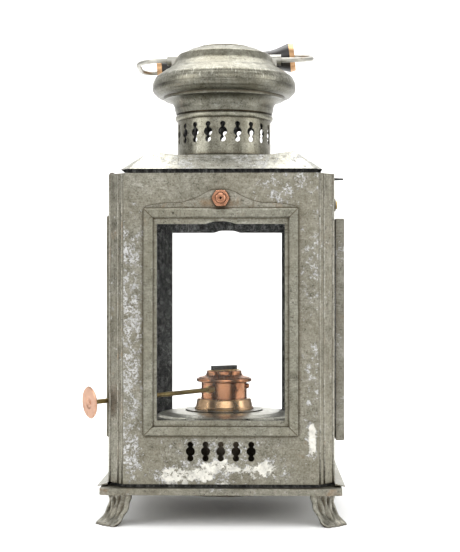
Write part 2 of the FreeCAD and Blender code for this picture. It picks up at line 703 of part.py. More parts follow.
def roof_solid(grow, low):
    """The roof's outer form as a closed solid standing on the height low."""
    eave, edge, peak, tip, deck, fold, flat = roof_shell_points(grow)
    quarter = [FreeCAD.Rotation(FreeCAD.Vector(0, 0, 1), 90 * n) for n in range(4)]

    def spun(n, x, y, z):
        return quarter[n % 4].multVec(FreeCAD.Vector(x, y, z))

    faces, bottom, top = [], [], []
    level = d.eave_height.value
    for n in range(4):
        left, right = spun(n, -edge, -eave, level), spun(n, edge, -eave, level)
        left_tip, right_tip = spun(n, -peak, -peak, tip), spun(n, peak, -peak, tip)
        fold_a, fold_b = spun(n, -flat, -fold, deck), spun(n, flat, -fold, deck)
        after = spun(n + 1, -edge, -eave, level)
        next_fold = spun(n + 1, -flat, -fold, deck)
        faces.append([left, right, right_tip, fold_b, fold_a, left_tip])
        faces.append([right, after, right_tip])
        faces.append([fold_b, right_tip, next_fold])
        drop = FreeCAD.Vector(0, 0, low - level)
        if low < level:
            faces.append([left + drop, right + drop, right, left])
            faces.append([right + drop, after + drop, after, right])
        bottom += [left + drop, right + drop]
        top += [fold_a, fold_b]
    faces += [bottom[::-1], top]
    made = [Part.Face(Part.makePolygon(points + [points[0]])) for points in faces]
    shell = Part.makeShell(made)
    return Part.Solid(shell)


def make_lid():
    """The roof, the curb that drops into the case and the thumb tab."""
    sheet_, level = d.roof_sheet.value, d.eave_height.value
    deep = level - d.roof_sheet.value * 2
    shell = roof_solid(0, level).cut(roof_solid(sheet_, deep))
    top = d.corner_peak.value + sheet_
    hole = Part.makeCylinder(d.roof_hole.value, top - deep, FreeCAD.Vector(0, 0, deep))
    subpart(solid_feature("lid_roof_body", shell.cut(hole)), "lid_roof")

    up = FreeCAD.Vector(0, 0, d.curb_height.value)
    prisms = []
    for half, corner in ((d.curb_half, d.eave_cut), (d.curb_half - d.sheet, d.eave_cut - d.sheet / 2)):
        points = [vector(point) + FreeCAD.Vector(0, 0, d.curb_low.value) for point in octagon(half, corner)]
        prisms.append(Part.Face(Part.makePolygon(points + points[:1])).extrude(up))
    under_roof = roof_solid(sheet_ + d.pin_play.value / 2, d.curb_low.value - sheet_)
    curb = prisms[0].cut(prisms[1]).common(under_roof)
    subpart(solid_feature("lid_curb_body", curb), "lid_curb")

    root = d.curb_half + d.pin_play
    width, tip = d.tab_width / 2, d.tab_tip / 2
    neck, blunt = d.tab_reach - d.tab_taper, d.tab_reach
    tab = plate("lid_tab_body", "XY_Plane", d.tab_low, d.tab_thick,
                [(root, -width), (neck, -tip), (blunt, -tip / 2, d.tab_round.value), (blunt, tip / 2),
                 (neck, tip, d.tab_round.value), (root, width)])
    subpart(tab, "lid_thumb_tab")


def make_lid_hinge():
    """One long three-knuckle hinge along the left edge; its pin lies along Y."""
    x, z = -d.lid_axis_reach, d.lid_axis_height
    length, wall = d.lid_hinge_length, d.body_half
    start = -length / 2
    third, gap = length / 3, d.knuckle_gap
    knuckle = third - gap
    bore, long_bore = d.pin_radius + d.pin_play, length + d.sheet * 2
    solids = [block("lid_case_leaf", -(wall + d.leaf_thick), -wall, start, start + length,
                    d.body_high - d.lid_leaf_drop, z)]
    for end, y in enumerate((start, start + third * 2 + gap)):
        solids.append(rod(f"lid_case_knuckle_{end}", d.barrel_radius, knuckle, x, y, z, "Y"))
    hole = rod("lid_case_bore", bore, long_bore, x, start - d.sheet, z, "Y")
    clear = rod("lid_case_clear", d.barrel_radius + gap, third + gap, x, start + third - gap / 2, z, "Y")
    case_leaf = cut("lid_case_hinge", fuse("lid_case_parts", solids), fuse("lid_case_tool", [hole, clear]))
    subpart(case_leaf, "case_lid_hinge_leaf")

    middle = start + third + gap / 2
    strap = block("lid_strap", x, -(d.curb_half + d.pin_play), middle, middle + knuckle,
                  z - d.leaf_thick, z)
    barrel = rod("lid_knuckle", d.barrel_radius, knuckle, x, middle, z, "Y")
    hole = rod("lid_bore", bore, long_bore, x, start - d.sheet, z, "Y")
    subpart(cut("lid_hinge_cut", fuse("lid_hinge_parts", [strap, barrel]), hole), "lid_hinge_leaf")

    pin = rod("lid_pin", d.pin_radius, length, x, start, z, "Y")
    ends = (start - d.pin_head_thick, start + length)
    heads = [rod(f"lid_pin_head_{end}", d.pin_head, d.pin_head_thick, x, y, z, "Y")
             for end, y in enumerate(ends)]
    subpart(fuse("lid_pin_parts", [pin] + heads), "lid_hinge_pin")


# ---- chimney --------------------------------------------------------------

def make_collar():
    """The perforated neck of the chimney with its foot flange, and the half-round band near its top."""
    outer, inner = d.collar_radius, d.collar_radius - d.collar_sheet
    foot, base, thick = d.collar_flange, d.deck_height, d.collar_sheet * 1.5
    fillet = d.collar_fillet
    collar = turned("collar_body", [
        (inner, base), (foot, base), (foot, base + thick), (outer + fillet, base + thick),
        (outer, base + thick + fillet, -0.3), (outer, d.collar_top), (inner, d.collar_top)])
    sketch = new_sketch(collar, "collar_hole_sketch", "XZ_Plane", as_size(0))
    outline(sketch, keyhole(as_size(0), d.collar_vent_middle, d.collar_spread, d.collar_top_lobe,
                            d.collar_mid_lobe, d.collar_low_lobe, d.collar_neck))
    pocket = collar.newObject("PartDesign::Pocket", "collar_hole")
    pocket.Profile = sketch
    pocket.Reversed = True
    bind(pocket, "Length", d.collar_flange)
    doc.recompute()
    pattern = collar.newObject("PartDesign::PolarPattern", "collar_holes")
    pattern.Originals = [pocket]
    pattern.Axis = (sketch, ["V_Axis"])
    pattern.Angle = 360.0
    pattern.setExpression("Occurrences", d.collar_holes.text)
    collar.Tip = pattern
    doc.recompute()
    subpart(collar, "vent_collar")

    lip = outer + d.band_lip
    band = turned("collar_band_body", [(outer, d.band_low), (lip, d.band_low),
                                       (lip, d.band_high, -d.band_proud.value), (outer, d.band_high)])
    subpart(band, "collar_band")


def sized(profile):
    """A profile's radii and heights as sizes."""
    return [(as_size(radius), as_size(height), *rise) for radius, height, *rise in profile]


def make_crown():
    """The ribbed cap: a lower pan, an upper dome and a covering disc on three short legs."""
    pan = turned("crown_pan_body", sheet_outline(sized(CROWN_PAN_PROFILE), d.crown_sheet))
    subpart(pan, "crown_pan")
    dome = turned("crown_dome_body", sheet_outline(sized(CROWN_DOME_PROFILE), d.crown_sheet))
    subpart(dome, "crown_dome")

    radius, low, top = d.cap_radius, d.cap_low, d.cap_top
    cap = turned("cap_disc_body", [(0, low), (radius, low), (radius, top - d.cap_edge),
                                   (radius - d.cap_edge, top - d.cap_edge / 4, -0.2), (0, top)])
    subpart(cap, "cap_disc")
    dome_top = as_size(CROWN_DOME_PROFILE[-1][1])
    reach = d.cap_radius - d.cap_leg_inset
    legs = []
    for number in range(3):
        angle = math.radians(30 + 120 * number)
        legs.append(rod(f"cap_leg_{number}", d.cap_leg, low - dome_top, reach * math.cos(angle),
                        reach * math.sin(angle), dome_top))
    subpart(group("cap_legs_group", legs), "cap_legs")


# ---- bail -----------------------------------------------------------------

def bail_point(sign, out, run):
    """A point of one arm: out along its ear, run back in the arm's own tilted plane."""
    angle = math.radians((d.bail_left_angle if sign < 0 else d.bail_right_angle).value)
    return FreeCAD.Vector(out * sign, run * math.cos(angle), d.bail_pivot.value + run * math.sin(angle))


def bail_arm(sign, along_grip):
    """The edges of one arm: out of its ear, round to the back and in line with the grip."""
    reach, depth = d.bail_reach.value, d.bail_depth.value
    first, second = d.bail_first_bend.value, d.bail_second_bend.value
    diagonal = math.sqrt(0.5)
    start = bail_point(sign, d.wire_start.value, 0)
    bend = bail_point(sign, reach - first, 0)
    bend_middle = bail_point(sign, reach - first * (1 - diagonal), first * (1 - diagonal))
    bend_end = bail_point(sign, reach, first)
    turn = bail_point(sign, reach, depth - second)
    end = bail_point(sign, reach - second, depth)
    pull = second * 0.5523
    backward = (turn - bend_end).normalize() * pull
    outward = along_grip * (sign * pull)
    curve = Part.BezierCurve()
    curve.setPoles([turn, turn + backward, end + outward, end])
    return [Part.LineSegment(start, bend).toShape(), Part.Arc(bend, bend_middle, bend_end).toShape(),
            Part.LineSegment(bend_end, turn).toShape(), curve.toShape()]


def grip_placement():
    """+X runs along the grip; one arm of the bail is bent down, so the grip slopes."""
    inset = d.bail_reach.value - d.bail_second_bend.value
    left, right = (bail_point(sign, inset, d.bail_depth.value) for sign in (-1, 1))
    turn = FreeCAD.Rotation(FreeCAD.Vector(1, 0, 0), right - left)
    return FreeCAD.Placement((left + right) * 0.5, turn), left, right


def make_bail():
    """One wire from ear to ear, the turned grip threaded on it and a ferrule at each end."""
    placement, left, right = grip_placement()
    along = (right - left).normalize()
    edges = bail_arm(-1, along) + [Part.LineSegment(left, right).toShape()] + bail_arm(1, along)
    path = Part.Wire(Part.__sortEdges__(edges))
    start = bail_point(-1, d.wire_start.value, 0)
    ring = Part.Wire(Part.Circle(start, FreeCAD.Vector(1, 0, 0), d.wire_radius.value).toShape())
    subpart(solid_feature("bail_wire_body", path.makePipeShell([ring], True, False)), "bail_wire")

    half, thick = d.grip_length / 2, d.ferrule_thick
    shoulder, waist = half - d.grip_flare_start, half - d.grip_flare
    bore = d.wire_radius + d.grip_play
    wood = half - thick
    grip = turned("grip_body", [
        (-wood, bore), (-wood, d.grip_end), (-shoulder, d.grip_shoulder), (-waist, d.grip_waist, -0.3),
        (waist, d.grip_waist, -0.6), (shoulder, d.grip_shoulder, -0.3), (wood, d.grip_end), (wood, bore)],
        axis="H_Axis")
    grip.Placement = placement
    subpart(grip, "bail_grip")

    rings = []
    for sign in (-1, 1):
        ring = turned(f"grip_ferrule_{sign + 1}", [
            (half * sign, bore), (half * sign, d.grip_end - d.ferrule_bevel), (wood * sign, d.grip_end),
            (wood * sign, bore)], axis="H_Axis")
        ring.Placement = placement
        rings.append(ring)
    subpart(group("grip_ferrules_group", rings), "grip_ferrules")


def make_bail_ears():
    """A drilled boss on each side of the crown, on a foot that stands on the dome's slope."""
    ears = []
    length = d.ear_end - d.ear_start
    for sign, name in ((-1, "left"), (1, "right")):
        low = -d.ear_end if sign < 0 else d.ear_start
        boss = rod(f"ear_boss_{name}", d.ear_radius, length, low, as_size(0), d.bail_pivot, "X")
        foot_low = -d.ear_foot if sign < 0 else d.ear_start
        foot = block(f"ear_foot_{name}", foot_low, foot_low + d.ear_foot - d.ear_start, -d.ear_radius,
                     d.ear_radius, d.bail_pivot - d.ear_foot_drop, d.bail_pivot)
        bore = rod(f"ear_bore_{name}", d.wire_radius + d.ear_play, length + d.sheet * 2, low - d.sheet,
                   as_size(0), d.bail_pivot, "X")
        blank = cut(f"ear_drilled_{name}", fuse(f"ear_parts_{name}", [boss, foot]), bore)
        foot_radius, foot_height = CROWN_DOME_PROFILE[0]
        top_height = CROWN_DOME_PROFILE[-1][1]
        solid_crown = turned(f"ear_trim_{name}", sized(
            [(0, foot_height), (foot_radius, foot_height), *CROWN_DOME_PROFILE[1:-1], (0, top_height)]))
        ears.append(cut(f"ear_{name}", blank, solid_crown))
    subpart(group("bail_ears_group", ears), "bail_ears")


# ---- fount and burner -----------------------------------------------------

def make_fount():
    """A round sheet fount with a rounded floor and a stepped shoulder up to its neck ring."""
    radius, low, shoulder = d.fount_radius, d.fount_low, d.fount_shoulder
    floor, thick = low + d.fount_floor_rise, d.fount_sheet
    neck_hole = d.neck_radius - d.neck_width
    middle = as_size(10)
    chain = [(middle, floor), (radius - 6, floor), (radius - 4, low, -0.4), (radius - 1.2, low),
             (radius, low + 1.2, -0.35), (radius, shoulder), (radius - 2, shoulder + 1.8, -0.4),
             (radius - 7.5, shoulder + 3.2), (d.neck_radius + 1, d.neck_low), (neck_hole, d.neck_low)]
    closed = sheet_outline(chain, thick)
    # The floor is closed across the axis.
    axis = as_size(0)
    points = [(axis, floor)] + closed[:-1] + [(middle, floor + thick), (axis, floor + thick)]
    subpart(turned("fount_body", points), "oil_fount")
    edge = d.neck_radius - 0.5
    ring = turned("fount_neck_body", [
        (neck_hole, d.neck_low), (d.neck_radius, d.neck_low), (d.neck_radius, d.fount_top - 0.25),
        (edge, d.fount_top, -0.1), (neck_hole, d.fount_top)])
    subpart(ring, "fount_neck_ring")


def make_burner():
    """Foot ring, gallery with a beaded rim, cone with the wick's slot, and the wick tube."""
    low, top = d.fount_top, d.gallery_low
    outer, upper, inner = d.burner_foot, d.burner_foot_top, d.burner_foot - d.burner_wall
    foot = turned("burner_foot_body", [
        (inner, low), (outer + 0.6, low), (outer + 0.6, low + 1.3), (outer, low + 1.9), (upper, top - 0.8),
        (upper - 0.6, top), (inner, top)])
    subpart(foot, "burner_foot")

    gallery, high, rim, wall = d.gallery_radius, d.gallery_high, d.rim_radius, d.gallery_wall
    bore = gallery - wall
    floor_hole = bore - d.gallery_floor
    shell = turned("gallery_body", [
        (floor_hole, top), (gallery, top), (gallery, high), (rim, high + 0.8, 0.4),
        (rim, high + 2.8, -0.85), (rim - 2.2, d.rim_top, -0.3), (bore, d.rim_top - 1), (bore, top + wall),
        (floor_hole, top + wall)])
    reach = FreeCAD.Vector(floor_hole.value / 2, 0, 0)
    drill = Part.makeCylinder(d.bush_radius.value, gallery.value, reach, FreeCAD.Vector(1, 0, 0))
    drilled = cut("gallery_cut", shell, solid_feature("gallery_bore", placed_on_spindle(drill)))
    subpart(drilled, "burner_gallery")

    cone_low, cone_top, seat = d.rim_top, d.cone_top, bore - d.cone_play
    edge = d.cone_edge
    disc = turned("cone_body", [
        (0, cone_low - wall), (seat, cone_low - wall), (seat, cone_low), (d.cone_low_radius, cone_low + edge),
        (d.cone_high_radius, cone_top - edge, 0.5), (d.cone_high_radius - edge, cone_top, -0.2),
        (0, cone_top)])
    side = (d.tube_play + d.tube_wall) * 2
    width, thick = d.wick_width + side, d.wick_thick + side
    slot = wick_block("cone_slot", width + d.pin_play, thick + d.pin_play, low, d.wick_top)
    subpart(cut("burner_cone_cut", disc, slot), "burner_cone")

    tube_low, tube_top = low - d.tube_drop, cone_top + d.tube_proud
    shell = cut("wick_tube_shell", wick_block("tube_outer", width, thick, tube_low, tube_top),
                wick_block("tube_inner", d.wick_width + d.tube_play * 2, d.wick_thick + d.tube_play * 2,
                           tube_low - d.sheet, tube_top + d.sheet))
    long = d.star_space.value + d.star_thick.value + d.star_slot_play.value * 2
    tall = (d.star_radius.value + d.star_slot_play.value) * 2
    back, front = d.star_slot_back.value, d.star_slot_front.value
    window = Part.makeBox(long, back + front, tall, FreeCAD.Vector(-long / 2, -front, -tall / 2))
    tube = cut("wick_tube_cut", shell, solid_feature("tube_slot", placed_on_spindle(window)))
    subpart(tube, "wick_tube")


def wick_block(name, width, thick, low, high):
    """An upright block across the burner, turned to the wick's direction."""
    box = doc.addObject("Part::Box", name)
    bind(box, "Length", width)
    bind(box, "Width", thick)
    bind(box, "Height", high - low)
    box.Placement = FreeCAD.Placement(FreeCAD.Vector(), wick_rotation())
    turn = math.radians(d.spindle_turn.value)
    half_width, half_thick = width / 2, thick / 2
    bind(box, "Placement.Base.x", half_thick * math.sin(turn) - half_width * math.cos(turn))
    bind(box, "Placement.Base.y", -(half_thick * math.cos(turn)) - half_width * math.sin(turn))
    bind(box, "Placement.Base.z", low)
    return box


def wick_rotation():
    return FreeCAD.Rotation(FreeCAD.Vector(0, 0, 1), d.spindle_turn.value)


def spindle_placement():
    """+X runs along the spindle towards the knob; the origin is beside the wick's middle."""
    turn = 180 + d.spindle_turn.value
    level = FreeCAD.Rotation(FreeCAD.Vector(0, 0, 1), turn)
    dip = FreeCAD.Rotation(FreeCAD.Vector(0, 1, 0), d.spindle_drop.value)
    base = wick_rotation().multVec(FreeCAD.Vector(0, -d.spindle_side.value, d.spindle_height.value))
    return FreeCAD.Placement(base, level.multiply(dip))


def placed_on_spindle(shape):
    shape = shape.copy()
    shape.Placement = spindle_placement().multiply(shape.Placement)
    return shape


def spindle_point(reach):
    """Where the spindle's axis crosses the plane X = -reach."""
    placement = spindle_placement()
    along = placement.Rotation.multVec(FreeCAD.Vector(1, 0, 0))
    travel = (-reach - placement.Base.x) / along.x
    return placement.Base + along * travel


def star_wheel(centre):
    """A toothed wheel round the spindle, centred at a distance along it."""
    start, thick = centre - d.star_thick.value / 2, d.star_thick.value
    along = FreeCAD.Vector(1, 0, 0)
    corners = int(d.star_teeth.value) * 2
    points = []
    for number in range(corners):
        radius = (d.star_radius if number % 2 == 0 else d.star_root).value
        angle = math.tau * number / corners
        points.append(FreeCAD.Vector(start, radius * math.cos(angle), radius * math.sin(angle)))
    star = Part.Face(Part.makePolygon(points + points[:1])).extrude(along * thick)
    return star.cut(Part.makeCylinder(d.spindle_radius.value, thick * 3, along * (start - thick), along))


def knob_profile():
    """Half the knob's section as (distance along the spindle, radius)."""
    start = d.spindle_outer.value
    back = start + d.knob_boss_length.value
    face = back + d.knob_thick.value
    dish = face - d.knob_dish_depth.value
    edge, radius = d.knob_edge.value, d.knob_radius.value
    rivet, tip = d.knob_rivet.value, dish + d.knob_rivet_rise.value
    return [(start, 0), (start, d.knob_boss.value), (back, d.knob_boss.value), (back, radius - edge),
            ((back + face) / 2, radius), (face, radius - edge), (face, d.knob_dish.value),
            (dish, d.knob_dish_floor.value), (dish, rivet), (tip, rivet * 0.75), (tip, 0)]


def make_wick_raiser():
    """The wick, and the spindle with its star wheels, knob and bush."""
    wick = wick_block("wick_body", d.wick_width, d.wick_thick, d.wick_low, d.wick_top)
    subpart(wick, "wick")

    along = FreeCAD.Vector(1, 0, 0)
    inner, outer, radius = d.spindle_inner.value, d.spindle_outer.value, d.spindle_radius.value
    shaft = Part.makeCylinder(radius, inner + outer, along * -inner, along)
    subpart(solid_feature("spindle_rod_body", placed_on_spindle(shaft)), "spindle_rod")

    stars = [placed_on_spindle(star_wheel(side * d.star_space.value / 2)) for side in (-1, 1)]
    subpart(solid_feature("star_wheels_body", Part.makeCompound(stars)), "star_wheels")

    points = [FreeCAD.Vector(x, y, 0) for x, y in knob_profile()]
    knob = Part.Face(Part.makePolygon(points + points[:1])).revolve(FreeCAD.Vector(), along, 360)
    subpart(solid_feature("wick_knob_body", placed_on_spindle(knob.Solids[0])), "wick_knob")

    gallery_bore = (d.gallery_radius - d.gallery_wall).value
    start = math.sqrt(gallery_bore ** 2 - d.spindle_side.value ** 2) - d.bush_sunk.value
    length = d.bush_length.value
    bush = Part.makeCylinder(d.bush_radius.value, length, along * start, along)
    bore = radius + d.bush_play.value
    bush = bush.cut(Part.makeCylinder(bore, length * 3, along * (start - length), along))
    subpart(solid_feature("spindle_bush_body", placed_on_spindle(bush)), "spindle_bush")


def check_and_export():
    doc.recompute()
    bad = [obj.Name for obj in doc.Objects if {"Invalid", "Error"} & set(obj.State)]
    for part in SUBPARTS:
        if part.Shape.isNull() or not part.Shape.isValid() or part.Shape.Volume <= 0:
            bad.append(part.Label)
    if bad:
        raise SystemExit(f"not built: {sorted(set(bad))}")
    os.makedirs("parts", exist_ok=True)
    for old in os.listdir("parts"):
        os.remove(os.path.join("parts", old))
    for part in SUBPARTS:
        part.Shape.exportStep(os.path.join("parts", f"{part.Label}.step"))
    print(len(SUBPARTS), "sub-parts written")


make_walls()
make_corner_posts()
make_top_deck()
make_base()
make_feet()
make_frames()
make_glass_guides()
make_braces_and_nuts()
make_door()
make_door_hinges()
make_door_latch()
make_lid()
make_lid_hinge()
make_collar()
make_crown()
make_bail()
make_bail_ears()
make_fount()
make_burner()
make_wick_raiser()
check_and_export()
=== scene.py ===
import math

import bmesh
import bpy
from mathutils import Matrix, Vector


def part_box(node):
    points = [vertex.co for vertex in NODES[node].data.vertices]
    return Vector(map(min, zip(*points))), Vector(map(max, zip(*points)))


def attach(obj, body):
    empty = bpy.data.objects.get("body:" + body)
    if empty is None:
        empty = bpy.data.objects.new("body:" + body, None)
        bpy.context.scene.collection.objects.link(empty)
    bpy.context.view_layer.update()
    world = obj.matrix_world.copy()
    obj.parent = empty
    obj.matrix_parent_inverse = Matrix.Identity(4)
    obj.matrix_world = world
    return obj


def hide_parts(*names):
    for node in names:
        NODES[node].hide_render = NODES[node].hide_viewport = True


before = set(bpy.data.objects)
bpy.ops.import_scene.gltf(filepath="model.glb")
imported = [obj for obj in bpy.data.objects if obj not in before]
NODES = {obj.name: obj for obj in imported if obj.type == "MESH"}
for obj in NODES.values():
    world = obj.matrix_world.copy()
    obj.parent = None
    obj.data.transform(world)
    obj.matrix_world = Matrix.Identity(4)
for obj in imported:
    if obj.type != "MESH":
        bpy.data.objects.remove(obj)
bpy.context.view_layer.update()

# Tinned-sheet oil lantern: finishes, detailed pieces and a plain studio. Metres,
# +Z up, front towards -Y, origin on the ground under the axis of the case.

MM = 0.001


def low(node):
    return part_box(node)[0]


def high(node):
    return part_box(node)[1]


def middle(node):
    return (low(node) + high(node)) / 2


# ---- shader building ------------------------------------------------------

WRAP_RADIUS = 35 * MM


class Shader:
    """A procedural material under construction."""

    def __init__(self, name, seed=0.0, polar=False):
        self.material = bpy.data.materials.new(name)
        self.material.use_nodes = True
        self.tree = self.material.node_tree
        self.surface = self.tree.nodes["Principled BSDF"]
        coords = self.tree.nodes.new("ShaderNodeTexCoord")
        self.place = coords.outputs["Object"]
        self.normal = coords.outputs["Normal"]
        self.seed = seed
        parts = self.node("ShaderNodeSeparateXYZ", {0: self.place})
        self.x, self.y, self.z = parts.outputs
        self.grain_place = self.around() if polar else self.place

    def node(self, kind, sockets, **settings):
        made = self.tree.nodes.new(kind)
        for key, value in settings.items():
            setattr(made, key, value)
        for key, value in sockets.items():
            self.feed(value, made.inputs[key])
        return made

    def feed(self, value, socket):
        if isinstance(value, bpy.types.NodeSocket):
            self.tree.links.new(value, socket)
        elif socket.type == "RGBA" and len(value) == 3:
            socket.default_value = (*value, 1.0)
        else:
            socket.default_value = value

    def around(self):
        """Coordinates wrapped round the Z axis: along the turn, outwards, up."""
        angle = self.math("ARCTAN2", self.y, self.x)
        run = self.math("MULTIPLY", angle, WRAP_RADIUS)
        out = self.math("SQRT", self.math("ADD", self.math("MULTIPLY", self.x, self.x),
                                          self.math("MULTIPLY", self.y, self.y)))
        return self.node("ShaderNodeCombineXYZ", {0: run, 1: out, 2: self.z}).outputs[0]

    def noise(self, size, detail=4.0, rough=0.55, stretch=(1, 1, 1), twist=0.0, seed=0.0, grain=False):
        """Fractal noise whose largest features are about size metres across."""
        shift = self.seed + seed
        mapping = self.node("ShaderNodeMapping", {
            "Vector": self.grain_place if grain else self.place, "Scale": stretch,
            "Location": (shift * 1.71, shift * 0.93, shift * 1.37)})
        return self.node("ShaderNodeTexNoise", {
            "Vector": mapping.outputs[0], "Scale": 1.0 / size, "Detail": detail, "Roughness": rough,
            "Distortion": twist}).outputs["Fac"]

    def math(self, kind, a, b=0.0, clamp=False):
        return self.node("ShaderNodeMath", {0: a, 1: b}, operation=kind, use_clamp=clamp).outputs[0]

    def inverse(self, value):
        return self.math("SUBTRACT", 1.0, value)

    def most(self, first, *others):
        for other in others:
            first = self.math("MAXIMUM", first, other)
        return first

    def times(self, *values):
        total = values[0]
        for value in values[1:]:
            total = self.math("MULTIPLY", total, value)
        return total

    def step(self, value, start, end):
        """0 below start, 1 above end, smooth between; start above end turns it round."""
        return self.node("ShaderNodeMapRange", {"Value": value, "From Min": start, "From Max": end},
                         interpolation_type="SMOOTHSTEP").outputs[0]

    def band(self, value, first, last, soft):
        """1 between first and last."""
        return self.times(self.step(value, first - soft, first + soft),
                          self.step(value, last + soft, last - soft))

    def blend(self, amount, a, b):
        made = self.node("ShaderNodeMix", {"Factor": amount}, data_type="RGBA")
        self.feed(a, made.inputs[6])
        self.feed(b, made.inputs[7])
        return made.outputs[2]

    def lerp(self, amount, a, b):
        made = self.node("ShaderNodeMix", {"Factor": amount}, data_type="FLOAT")
        self.feed(a, made.inputs[2])
        self.feed(b, made.inputs[3])
        return made.outputs[0]

    def ramp(self, value, stops):
        made = self.node("ShaderNodeValToRGB", {"Fac": value})
        marks = made.color_ramp.elements
        while len(marks) < len(stops):
            marks.new(0.5)
        for mark, (place, colour) in zip(marks, stops):
            mark.position = place
            mark.color = (*colour, 1.0)
        return made.outputs[0]

    def bump(self, height, strength, depth):
        made = self.node("ShaderNodeBump", {"Height": height, "Strength": strength, "Distance": depth})
        self.feed(made.outputs[0], self.surface.inputs["Normal"])

    def inner_side(self):
        """1 where the surface faces the lantern's own axis."""
        flat = self.node("ShaderNodeCombineXYZ", {0: self.x, 1: self.y, 2: 0.0}).outputs[0]
        facing = self.node("ShaderNodeVectorMath", {0: self.normal, 1: flat}, operation="DOT_PRODUCT")
        return self.step(facing.outputs["Value"], -0.002, -0.008)

    def under_side(self):
        """1 where the surface faces down."""
        parts = self.node("ShaderNodeSeparateXYZ", {0: self.normal})
        return self.step(parts.outputs["Z"], -0.3, -0.6)

    def crevice(self, reach):
        """1 in the open, towards 0 in corners narrower than reach."""
        return self.node("ShaderNodeAmbientOcclusion", {"Distance": reach}, samples=6).outputs["AO"]

    def finish(self, colour, rough, metal):
        self.feed(colour, self.surface.inputs["Base Color"])
        self.feed(rough, self.surface.inputs["Roughness"])
        self.feed(metal, self.surface.inputs["Metallic"])
        return self.material


# ---- materials ------------------------------------------------------------

DARK_TIN = (0.035, 0.032, 0.025)
MID_TIN = (0.180, 0.172, 0.140)
PALE_TIN = (0.290, 0.282, 0.240)
BRIGHT_TIN = (0.46, 0.455, 0.42)
STAINED_TIN = (0.235, 0.212, 0.155)
RUST = (0.190, 0.105, 0.036)
# colours for darkened corners and recesses: grime, and painted shade
GRIME_AND_SHADE = (0.070, 0.050, 0.024)
DEEP_GRIME_AND_SHADE = (0.040, 0.028, 0.014)
PAINT = (0.74, 0.72, 0.65)
WORN_PAINT = (0.68, 0.68, 0.68)
THIN_PAINT = (0.36, 0.36, 0.365)
SOOT = (0.012, 0.012, 0.012)

# tints that multiply a colour
PLAIN = (1.0, 1.0, 1.0)
WARM = (1.0, 0.985, 0.94)
COOL = (0.98, 1.0, 1.04)
OLIVE = (1.0, 1.0, 0.95)

# sizes of the textures' features
CLOUD = 34 * MM
STAIN_PATCH = 45 * MM
RUST_PATCH = 21 * MM
DRAG = 7.5 * MM
MOTTLE = 6 * MM
FLAKE = 5.2 * MM
GRAIN = 4 * MM
SOOT_GRAIN = 3 * MM
WORN_GRAIN = 2.2 * MM
SPOT = 1.9 * MM
GLINT = 1.5 * MM
LACE = 1.3 * MM
FLECK = 1.1 * MM
WIDE_CREVICE = 7 * MM
TIGHT_CREVICE = 2.2 * MM


def shade(colour, gain, tint=PLAIN):
    """The colour made lighter or darker by gain, and tinted."""
    return tuple(part * gain * share for part, share in zip(colour, tint))


def painted(s, place):
    """Old paint where the map called place is above 0, and thick where it is above 1: cover and colour."""
    flakes = s.noise(FLAKE, 10, 0.80, twist=0.3, seed=23)
    thick = s.step(place, 1.0, 1.15)
    cover = s.times(s.step(s.math("ADD", flakes, s.times(place, 0.12)), 0.600, 0.622),
                    s.step(place, 0.02, 0.12))
    lace = s.step(s.noise(LACE, 4, 0.75, seed=27), 0.44, 0.52)
    cover = s.times(cover, s.most(s.times(lace, 0.85), thick))
    thin = s.ramp(s.noise(WORN_GRAIN, 5, 0.7, seed=29), [(0.35, THIN_PAINT), (0.6, WORN_PAINT)])
    full = s.ramp(s.noise(GRAIN, 5, 0.7, seed=30), [(0.35, shade(PAINT, 0.62)), (0.6, PAINT)])
    return cover, s.blend(thick, thin, full)


def bare_sheet(s, gain, tint, mottle, drag, drag_share):
    """The sheet's own grey, from dark pits to bright scratches."""
    cloud = s.noise(CLOUD, 3, 0.6, twist=0.6)
    fleck = s.noise(FLECK, 3, 0.8, seed=5)
    tone = s.math("ADD", s.math("ADD", s.times(cloud, 0.15), s.times(mottle, 0.35)),
                  s.math("ADD", s.times(fleck, 0.50 - drag_share), s.times(drag, drag_share)))
    colour = s.ramp(tone, [(0.38, shade(DARK_TIN, gain, tint)), (0.450, shade(MID_TIN, gain, tint)),
                           (0.53, shade(PALE_TIN, gain, tint)), (0.62, shade(BRIGHT_TIN, gain, tint))])
    warmth = s.step(s.noise(STAIN_PATCH, 3, 0.5, seed=13), 0.40, 0.62)
    colour = s.blend(s.times(warmth, 0.26), colour, shade(STAINED_TIN, gain, tint))
    spots = s.times(s.step(s.noise(SPOT, 5, 0.76, seed=11), 0.585, 0.645), s.step(cloud, 0.34, 0.52))
    return s.blend(s.times(spots, 0.85), colour, shade(DARK_TIN, 0.6))


